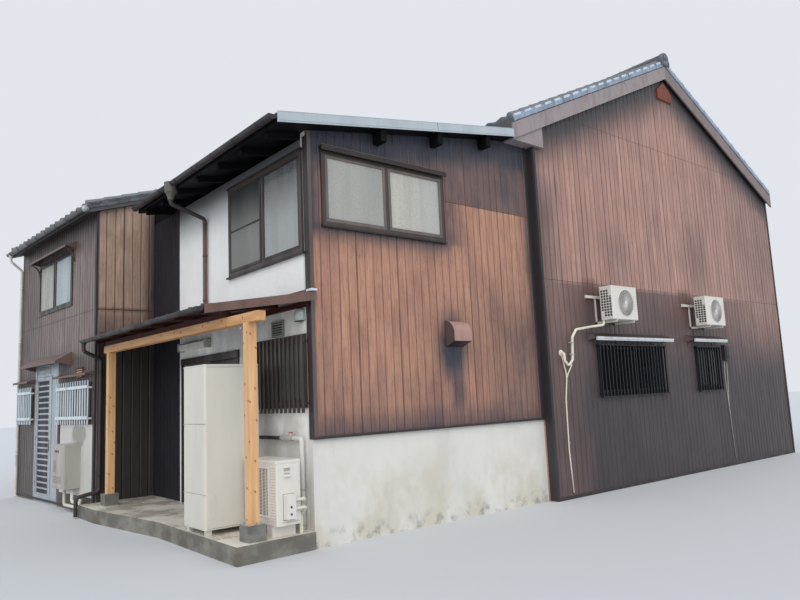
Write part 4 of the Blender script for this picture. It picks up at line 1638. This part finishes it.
# Small fittings: louvre, vent cap, porch lamp, meter box, gable vent boards, straps and collars
blocks("louvreFrame", "plaster", border((0.581, 0.857), (2.39, 2.58), (0.018, 0.028), 0.019,
        0.018, 0.018), "ventGreen", 0.002)
blocks("louvreSlots", "plaster", [(0.6, 0.838, 0.017, 0.019, 2.408, 2.562)], "darkInside", 0)
blocks("louvreBlades", "plaster", [(0.6, 0.838, 0.018, 0.029, z, z + 0.013)
        for z in np.linspace(2.418, 2.54, 5)], "ventGreen", 0.002)
ventCap = {"centre": 0.175, "foot": 2.528, "high": 2.672, "half": 0.078, "out": 0.084}
capTurn = np.linspace(0, np.pi, 17)
capRise = np.array([0.0, 0, 0.62, 0.8, 0.92, 1.0])
capShare = np.array([0.9, 1.0, 1.0, 0.9, 0.68, 0.05])
capCorner = np.stack([np.sign(np.cos(capTurn)) * np.abs(np.cos(capTurn)) ** 0.6,
        np.sin(capTurn) ** 0.6], -1)
capA, capO = capShare[:, None] * capCorner[:, 0], capShare[:, None] * capCorner[:, 1]
capZ = ventCap["foot"] + capRise[:, None] * (ventCap["high"] - ventCap["foot"]) + 0 * capA
thicken(makePiece("ventCapHood", onWall("plaster", ventCap["centre"] + ventCap["half"] * capA,
            ventCap["out"] * capO, capZ).reshape(-1, 3),
        gridFaces(*capA.shape), "hoodGalvanised", smooth=True), 0.002)
makeMixed("ventCapRing", [wallRing("plaster", (0.175, 2.59), 0.082, 0.004, 0.006, 32)],
    "hoodGalvanised")
blocks("ventCapSlot", "plaster", [(0.12, 0.23, 0.02, 0.074, 2.52, 2.532)], "darkInside", 0.002)
blocks("porchLampBase", "plaster", [(2.67, 3.63, 0, 0.04, 2.44, 2.54)], "whitePlastic", 0.006)
blocks("porchLampCover", "plaster", [(2.69, 3.61, 0.036, 0.098, 2.436, 2.544)], "whitePlastic", 0.022)
blocks("porchLampEnds", "plaster", [(2.655, 2.69, 0, 0.104, 2.424, 2.554),
        (3.61, 3.645, 0, 0.104, 2.424, 2.554)], "greyCase", 0.008)
hoodLips = ((5.03, 7.308, 2.364), (8.07, 9.32, 2.384))
blocks("gableHoodLips", "gable", [(a0 - 0.004, a1 + 0.004, 0.18, 0.192, z - 0.02, z + 0.036)
        for a0, a1, z in hoodLips], "guardWhite", 0.002)
blocks("gableHoodEdges", "gable", [(a0 - 0.006, a1 + 0.006, 0.15, 0.196, z + 0.036, z + 0.046)
        for a0, a1, z in hoodLips], "darkTrim", 0.002)
blocks("meterBox", "gable", [(9.42, 9.56, 0, 0.085, 2.02, 2.33)], "darkTrim", 0.012)
blocks("meterBoxLid", "gable", [(9.432, 9.548, 0.085, 0.096, 2.06, 2.3)], "blackBars", 0.008)
pipes("meterConduit", [(wallPath("gable", [(a, 0.03, 2.03), (a + lean, 0.022, 1.7),
            (9.47, 0.018, 1.2), (9.53, 0.018, 0.12)]), 0.008, 0.1)
        for a, lean in ((9.45, -0.03), (9.53, 0))], "greyCase")
pipes("drainHose", [
    (wallPath("gable", [(4.33, 0.03, 2.1), (4.36, 0.03, 1.98), (4.42, 0.022, 1.8), (4.36, 0.02, 1.45),
            (4.345, 0.02, 0.7), (4.38, 0.022, 0.09)]), 0.011, 0.08),
    (wallPath("gable", [(4.5, 0.07, 1.975), (4.44, 0.03, 1.83), (4.42, 0.022, 1.78)]), 0.011, 0.05)],
    "creamPipe")
blocks("hoseStraps", "gable", [(4.335, 4.375, 0, 0.034, z, z + 0.014) for z in (1.4, 0.8)]
    + [(4.5, 4.556, 0.03, 0.096, z, z + 0.016) for z in (2.3, 2.12)], "hoodGalvanised", 0.002)
blocks("gableVentBoards", "gable", [(a, a + 0.052, 0.038, 0.046, 7.088 + (0.012 if k % 2 else 0),
            7.262 + 0.2 * (1 - abs(a + 0.026 - 8.14) / 0.25) - 0.02)
        for k, a in enumerate(np.linspace(7.892, 8.336, 9))], "ventRed", 0.002)
for number, (a, z) in enumerate(((5.11, 6.2), (6.69, 6.98))):
    blocks(f"bargeJoint{number}", slopeFrame((a, 0, z), slope), [
        (0, 0.004, 0.2288, 0.2297, -0.12, 0.1)], "darkTrim", 0)


def gutterStraps(name, places, along, radius, finish):
    # half hoops under a gutter: point = centre + across * r cos t - up * r sin t
    across = np.cross(upAxis, along)
    turn = np.linspace(0, np.pi, 11)
    runs = [carryProfile(np.array(place, float) + across * (radius * np.cos(turn))[:, None]
            - upAxis * (radius * np.sin(turn))[:, None], circle(0.005, 6)) for place in places]
    makeMixed(name, runs, finish)


gutterTop = nodePoints("wing_gutter")[:, 2].max()
gutterStraps("wingGutterStraps", [(-0.555, y, gutterTop) for y in np.arange(0.1, 4.2, 0.6)],
    np.array([0, 1.0, 0]), 0.0585, "gutterBrown")
hopper = {"place": (-0.555, 2.75), "rise": (-0.24, -0.2, -0.15, -0.13, -0.01, 0.012),
    "half": (0.04, 0.046, 0.066, 0.084, 0.09, 0.096)}
hopperPath = np.array([(*hopper["place"], gutterTop + rise) for rise in hopper["rise"]])
hopperRings = np.array(hopper["half"])[:, None, None] * circle(1.0, 20)[None]
makeMixed("wingHopper", [carryProfile(hopperPath, hopperRings)], "hopperGrey", smooth=False)
rearGutterTop = nodePoints("rear_gutter")[:, 2].max()
pipes("rearGutterEnd", [(wallPath("rear", [(a, 0.255, rearGutterTop - 0.02)
            for a in (-0.136, -0.15)]), 0.056, 0.01)], "silverFrame")
gutterStraps("rearGutterStraps", [onWall("rear", s, 0.255, rearGutterTop)
        for s in np.arange(0.1, 4.1, 0.55)], rearAlongArray, 0.0585, "gutterGrey")
for name, (x, y), heights, finish in (
        ("wingPipeCollars", (-0.045, 2.75), (3.1, 3.75, 4.25), "pipeBrown"),
        ("porchPipeCollars", (-0.87, 4.855), (0.6, 1.4, 2.2), "pipeDark")):
    pipes(name, [([(x, y, z), (x, y, z + 0.03)], 0.0335, 0.01) for z in heights], finish)
blocks("porchFasciaCap", "plaster", [(-0.165, -0.05, 0, 0.08, porchRoof[:, 2].max() + 0.003,
            porchRoof[:, 2].max() + 0.03)], "guardWhite")
pipes("rearPipeCollars", [(wallPath("rear", [(4.03, 0.045, z), (4.03, 0.045, z + 0.03)]),
            0.0285, 0.01) for z in (0.8, 1.9, 3.0, 4.1)], "creamPipe")
blocks("postBolts", wallFrame((-0.894, 0.066, 0), (1, 0, 0), (0, -1, 0)),
    [(0.05, 0.066, -0.001, 0.003, z, z + 0.016) for z in (0.42, 0.52, 2.4)], "hoodGalvanised", 0.003)
print("fittings done")


# Floor, light and camera

cameraView = {"place": (-4.218, -6.697, 1.618), "yaw": 39.685, "pitch": 7.861, "roll": -2.581,
    "lens": 31.19}


def buildStage():
    # a pale floor, a soft sky and a wide sun; the sky shows to the camera as a plain pale tone
    bpy.ops.mesh.primitive_plane_add(size=160, location=(0, 0, 0))
    floor = bpy.context.object
    floor.name = "floor"
    material = bpy.data.materials.new("paleFloor")
    material.use_nodes = True
    material.node_tree.nodes["Principled BSDF"].inputs["Base Color"].default_value = tone(206, 208, 210)
    material.node_tree.nodes["Principled BSDF"].inputs["Roughness"].default_value = 0.8
    floor.data.materials.append(material)
    world = bpy.data.worlds.new("sky")
    bpy.context.scene.world = world
    world.use_nodes = True
    tree = world.node_tree
    background = tree.nodes["Background"]
    rays = addNode(tree, "ShaderNodeLightPath")
    seen = addNode(tree, "ShaderNodeMath", {0: rays.outputs["Is Camera Ray"],
            1: rays.outputs["Is Glossy Ray"]}, operation="MAXIMUM")
    colour = addNode(tree, "ShaderNodeMix", {0: seen.outputs[0], 6: (0.86, 0.92, 1.0, 1),
            7: tone(226, 230, 236)}, data_type="RGBA")
    tree.links.new(colour.outputs[2], background.inputs["Color"])
    strength = addNode(tree, "ShaderNodeMapRange", {"Value": seen.outputs[0], "To Min": 0.86,
            "To Max": 1.0})
    tree.links.new(strength.outputs["Result"], background.inputs["Strength"])
    sun = bpy.data.lights.new("softSun", "SUN")
    sun.energy = 1.35
    sun.angle = math.radians(60)
    sun.color = (1.0, 0.98, 0.95)
    lamp = bpy.data.objects.new("softSun", sun)
    lamp.rotation_euler = Vector((0.5, 0.6, -0.62)).to_track_quat("-Z", "Y").to_euler()
    bpy.context.scene.collection.objects.link(lamp)


def buildCamera():
    # forward = (sin yaw cos pitch, cos yaw cos pitch, sin pitch), then turned by the roll
    yaw, pitch, roll = (math.radians(cameraView[key]) for key in ("yaw", "pitch", "roll"))
    forward = np.array([math.sin(yaw) * math.cos(pitch), math.cos(yaw) * math.cos(pitch),
            math.sin(pitch)])
    right = np.array([math.cos(yaw), -math.sin(yaw), 0.0])
    lift = np.cross(right, forward)
    turnedRight = math.cos(roll) * right + math.sin(roll) * lift
    turnedLift = -math.sin(roll) * right + math.cos(roll) * lift
    data = bpy.data.cameras.new("photoCamera")
    data.lens = cameraView["lens"]
    data.sensor_width = 36
    data.clip_end = 300
    camera = bpy.data.objects.new("photoCamera", data)
    place = np.array(cameraView["place"]) + planShift
    camera.matrix_world = Matrix([[turnedRight[0], turnedLift[0], -forward[0], place[0]],
        [turnedRight[1], turnedLift[1], -forward[1], place[1]],
        [turnedRight[2], turnedLift[2], -forward[2], place[2]], [0, 0, 0, 1]])
    bpy.context.scene.collection.objects.link(camera)
    bpy.context.scene.camera = camera


buildStage()
buildCamera()
bpy.context.scene.view_settings.view_transform = "Standard"
print("stage, camera and sizes done")
